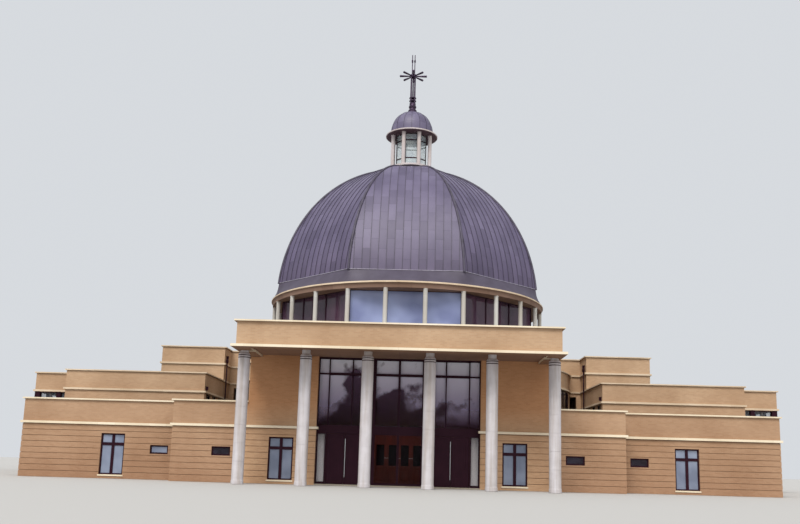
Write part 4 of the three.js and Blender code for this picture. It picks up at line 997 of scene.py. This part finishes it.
# The welts and rolls are darker than the sheets, in part as painted shade
welt_lead_painted_shade = mottled("dark weathered lead of the welts and rolls", 500, "#37313F", "#4C4558", 0.55)
curve = dome_curve(DOME, FLAT)
face, foot = -curve[0][0], DOME["foot"]
welt = drawn_up(block("welt", -14, 14, face - 44, face + 10, foot - 25, foot), curve)
smooth(welt, 20)
row = join("welts", placed(welt, *[moved(BAY * (i + 0.5), 0) for i in range(-8, 8)]))
edit(row)
for side in SIDES:
    normal = (side * math.cos(CORNER), math.sin(CORNER), 0)
    select_all()
    bpy.ops.mesh.bisect(plane_co=(0, 0, 0), plane_no=normal, clear_outer=True, use_fill=True)
bpy.ops.object.mode_set(mode="OBJECT")
fix_copies("dome_welts", row, turned_round(8), welt_lead_painted_shade)

deselect_all()
start = (0, -(foot_reach + 30) * MM, (DOME["foot"] - 20) * MM)
bpy.ops.mesh.primitive_cylinder_add(vertices=14, radius=88 * MM, depth=40 * MM, location=start)
bpy.ops.object.transform_apply()
roll = drawn_up(bpy.context.object, [(reach + 30, level) for reach, level in hip])
smooth(roll, 40)
fix_copies("dome_hip_rolls", roll, turned_round(8, first=22.5), welt_lead_painted_shade)

# The drip is made pale as a painted highlight
rim = foot_reach + 12
profile = [(rim, 13780), (rim + 40, 13784), (rim + 46, 13800), (rim + 36, 13820), (rim, 13826)]
drip = ring_of("dome_drip", [*profile, (rim - 60, 13826), (rim - 60, 13780)], 8)
fix(drip, mottled("lead of the drip, pale as a painted highlight", 300, "#8A8594", "#A5A0AE", 0.5))

# Lantern
# Eight stone columns on a round deck over a dark neck, a glazed cage inside them, a flat round
# cornice and a small lead dome with sixteen welts.

SHORT_LENGTHS = (700, 4000, 5, 0.5)
lantern_stone = stonework(
    "grey-beige cast stone of the lantern", round_walls(1700),
    ("#D2CBD0", "#C7BFC4", "#A0969B"), unit=SHORT_LENGTHS,
)
profile = [(160, 23899), (160, 23940), (145, 23950), (145, 26420), (160, 26432), (160, 26479)]
posts = placed(turned("lantern_column", profile, 32), *turned_round(8, 0, -1550, 22.5))
profile = [(1500, 23562), (1500, 23742), (1700, 23750), (1720, 23762), (1720, 23880)]
deck = ring_of("lantern_deck", [*profile, (1706, 23900), (952, 23900), (952, 23562)], 64)
fix(join("lantern_columns", [deck, *posts]), lantern_stone, ["lantern_colonnade"])
profile = [(1502, 23564), (1516, 23570), (1516, 23732), (1502, 23740)]
fix(ring_of("lantern_neck", profile, 64), skirt_lead)

CAGE = (23902, 24500, 25950, 26478)  # its foot, its two cross bars and its head
half, face = cage_bars("lantern_bars", 1240, CAGE, 1, 26, 40)
pane = block("lantern_pane", -half, half, face - 6, face + 6, CAGE[0], CAGE[-1])
pane = set_in(pane, (30, -2), test=is_broad)
lantern_glass = tinted_glass("tinted glass of the lantern", "#B9C9D0", "#E4F0EE", 500, 0.22)
fix_copies("lantern_panes", pane, turned_round(8), lantern_glass, ["lantern_glass"])

profile = [(952, 26481), (1900, 26481), (1930, 26490), (1970, 26500), (2000, 26524), (2029, 26532)]
profile += [(2029, 26604), (2018, 26614), (1970, 26639), (952, 26639)]
cornice = ring_of("lantern_cornice_moulding", profile, 64)
fix(cornice, lantern_stone, ["lantern_cornice"])
# The soffit under the lantern's cornice is painted dark as shade
lantern_soffit_stone_painted_shade = stonework(
    "stone under the lantern's cornice, dark with painted shade", round_walls(1700),
    ("#56404A", "#4E3843", "#38262F"), 0.85, unit=SHORT_LENGTHS,
)
profile = [(1000, 26478), (1898, 26478), (1966, 26496), (1996, 26520), (1990, 26530)]
fix(ring_of("lantern_soffit", [*profile, (1000, 26530)], 64), lantern_soffit_stone_painted_shade)

CAP = {"corner": 1625, "rise": 1625, "centre": 27000, "foot": 27000, "top": 28550, "steps": 16}
foot = (CAP["corner"], 26641)
arc = dome_curve(CAP)
cap = turned("lantern_cap", [foot, *arc], 64)
cap_lead = lead_sheets("weathered lead of the small dome", round_walls(1625), (638, 700, 8, 0.0))
fix(cap, cap_lead, ["lantern_dome"])
welt = block("cap_welt", -9, 9, -foot[0] - 20, -foot[0] + 8, foot[1], foot[1] + 20)
welt = drawn_up(welt, [(foot[0], foot[1] + 20), *arc])
smooth(welt, 20)
fix_copies("cap_welts", welt, turned_round(16), welt_lead_painted_shade)

# Cross
# Dark bronze: a turned bell foot, four clustered rods, two collars, a hub with eight level arms
# that end in balls, and four thin rods with beads above it.

# The patina is dull and brown-black, and lets a little bare metal glint through
bronze, tree = new_material("dark bronze with a brown-black patina")
patina = cloudy(tree, 160, "#322737", "#544659", 6.0, (0.3, 0.72))
pits = rough(tree, 9, 3.0, 0.3, 1)
finish_with(tree, Base_Color=patina, Roughness=0.42, Metallic=0.85, Normal=pits)

FOOT, HUB, TOP = 28551, 31720, 33500
profile = [(332, 0), (340, 8), (345, 60), (345, 230), (325, 262), (284, 290), (262, 330)]
profile += [(244, 400), (248, 440), (284, 470), (300, 500), (300, 580), (284, 604), (256, 628)]
profile += [(250, 650), (250, 850), (236, 876), (150, 898)]
parts = [turned("bell", [(reach, FOOT + rise) for reach, rise in profile], 40)]


def ball(name, level, reach, half, shoulder):
    """A turned knob: a rounded rim with sloping shoulders."""
    steps = [(0.3, half + shoulder), (0.8, half + shoulder / 2), (0.97, half), (1, half * 0.4)]
    profile = [(reach * share, level - away) for share, away in steps]
    profile += [(reach * share, level + away) for share, away in reversed(steps)]
    return turned(name, profile, 32)


parts += [ball("collar", FOOT + rise, 280, 34, 28) for rise in (1050, 1300)]
core = [(56, FOOT + 700), (56, FOOT + 1900), (52, FOOT + 1920), (52, HUB)]
parts += [ball("hub", HUB, 270, 80, 100), turned("core", core, 24)]
rod = turned("shaft_rod", [(66, FOOT + 700), (66, FOOT + 1880), (62, FOOT + 1900), (62, HUB)], 20)
parts += placed(rod, *turned_round(4, 0, -205, 45))
rod = turned("top_rod", [(34, HUB), (34, TOP - 40), (30, TOP - 20), (12, TOP)], 16)
parts += placed(rod, *turned_round(4, 0, -140, 45))
parts += placed(ball("bead", TOP - 500, 66, 40, 30), *turned_round(4, 0, -140, 45))
profile = [(44, 60), (48, 260), (58, 420), (72, 700), (84, 980), (86, 1040)]
profile += [(70, 1075), (24, 1090)]
lie = moved(0, 0, HUB) @ rotated(90, "X")
parts += placed(turned("arm", profile, 20), *[turn @ lie for turn in turned_round(8)])
fix(join("cross_bronze", parts), bronze, ["cross"])

# Roofs, floor and fittings
# Flat roofs of grey mineral felt, stone flags inside, rainwater pipes where the upper blocks
# meet their links, and small dark wall lights on the upper tiers.

# Mineral felt is a flat, gritty grey with dark laps, and honed flags are smooth and dull
felt = laid(
    "grey mineral felt in lapped rolls", place_in, (8000, 1000, 24, 0.37),
    ("#85827C", "#777570", "#5F5D59"), ("#DEDBD6", "#FFFFFF"), 0.92, (3, 1.2),
)
dress(felt, "low_roof", "rotunda_roof", "portico_roof")
for side in ("left", "right"):
    dress(felt, "transept_roof_" + side, "upper_roof_" + side)
flags = laid(
    "honed limestone flags", place_in, (900, 600, 8, 0.5),
    ("#ABA294", "#9C9385", "#7E776B"), ("#E4E0D8", "#FFFFFF"), 0.6, (5, 0.6),
)
dress(flags, "ground_floor")

# A pipe: sockets on the way up, and a hopper head under the coping
profile = [(44, 3950), (50, 3956), (50, 4030), (44, 4036)]
for level in (5600, 7000):
    profile += [(44, level), (52, level + 6), (52, level + 80), (44, level + 86)]
profile += [(44, 7820), (84, 7870), (100, 7900), (100, 8050), (92, 8060)]
pipe = turned("rainwater_pipe", profile, 20)
places = [moved(side * 12485, end * 4560) for side in SIDES for end in SIDES]
fix_copies("rainwater_pipes", pipe, places, powder_coat)

lamp = set_in(block("wall_light", -60, 60, -150, -12, -120, 120), (20, -18))
plate = bevelled(block("back_plate", -85, 85, -12, 0, -145, 145), 5, 2, before(-10))
lamp = join("wall_light", [lamp, plate])
spots = ((9650, 5600), (4100, 8250))
places = [on_inner(side, end * y, z) for side in SIDES for end in SIDES for y, z in spots]
fix_copies("wall_lights", lamp, places, powder_coat)

# Floor, light and camera
# A plain pale studio floor, a bright hazy sky with a soft key light from the front left and a
# weak fill from the front right, and the camera at the photo's own viewpoint.

deselect_all()
bpy.ops.mesh.primitive_plane_add(size=400, location=(0, 0, -0.004))
floor = bpy.context.object
floor.name = "studio_floor"
bpy.ops.object.transform_apply()
paper, tree = new_material("pale studio floor")
finish_with(tree, Base_Color="#B7B5B2", Roughness=0.9)
floor.data.materials.append(paper)

world = bpy.data.worlds.new("studio")
world.use_nodes = True
sky = world.node_tree.nodes["Background"].inputs
sky["Color"].default_value = linear("#EDF1F6")
sky["Strength"].default_value = 0.8
bpy.context.scene.world = world
for name, way, energy, spread in (
    ("soft_key_light", (-0.26, -0.78, 1.0), 2.55, 28),
    ("soft_fill_light", (0.6, -0.8, 0.4), 0.5, 60),
):
    bpy.ops.object.light_add(type="SUN", location=(0, 0, 30))
    light = bpy.context.object
    light.name = name
    light.data.energy = energy
    light.data.angle = math.radians(spread)
    light.data.color = (1.0, 0.97, 0.92)
    light.rotation_euler = Vector(way).to_track_quat("Z", "Y").to_euler()
bpy.ops.object.light_add(type="AREA", location=(0, -10.2, 1.8), rotation=(math.radians(70), 0, 0))
foyer_light = bpy.context.object
foyer_light.name = "soft_foyer_light"
foyer_light.data.size = 1.4
foyer_light.data.energy = 4
foyer_light.visible_camera = foyer_light.visible_glossy = False
foyer_light.data.color = (1.0, 0.85, 0.7)
bpy.context.scene.view_settings.view_transform = "Standard"

YAW, PITCH, ROLL = 1.1119, 10.3155, 1.6114
EYE = Matrix.Translation((0.4458, -33.1770, 0.52155))
camera = bpy.data.objects.new("camera", bpy.data.cameras.new("camera"))
bpy.context.scene.collection.objects.link(camera)
camera.matrix_world = EYE @ rotated(YAW, "Z") @ rotated(90 + PITCH, "X") @ rotated(ROLL, "Z")
camera.data.lens = 39.835
camera.data.shift_x = -0.0025
camera.data.shift_y = 0.05375
camera.data.clip_end = 500
bpy.context.scene.camera = camera
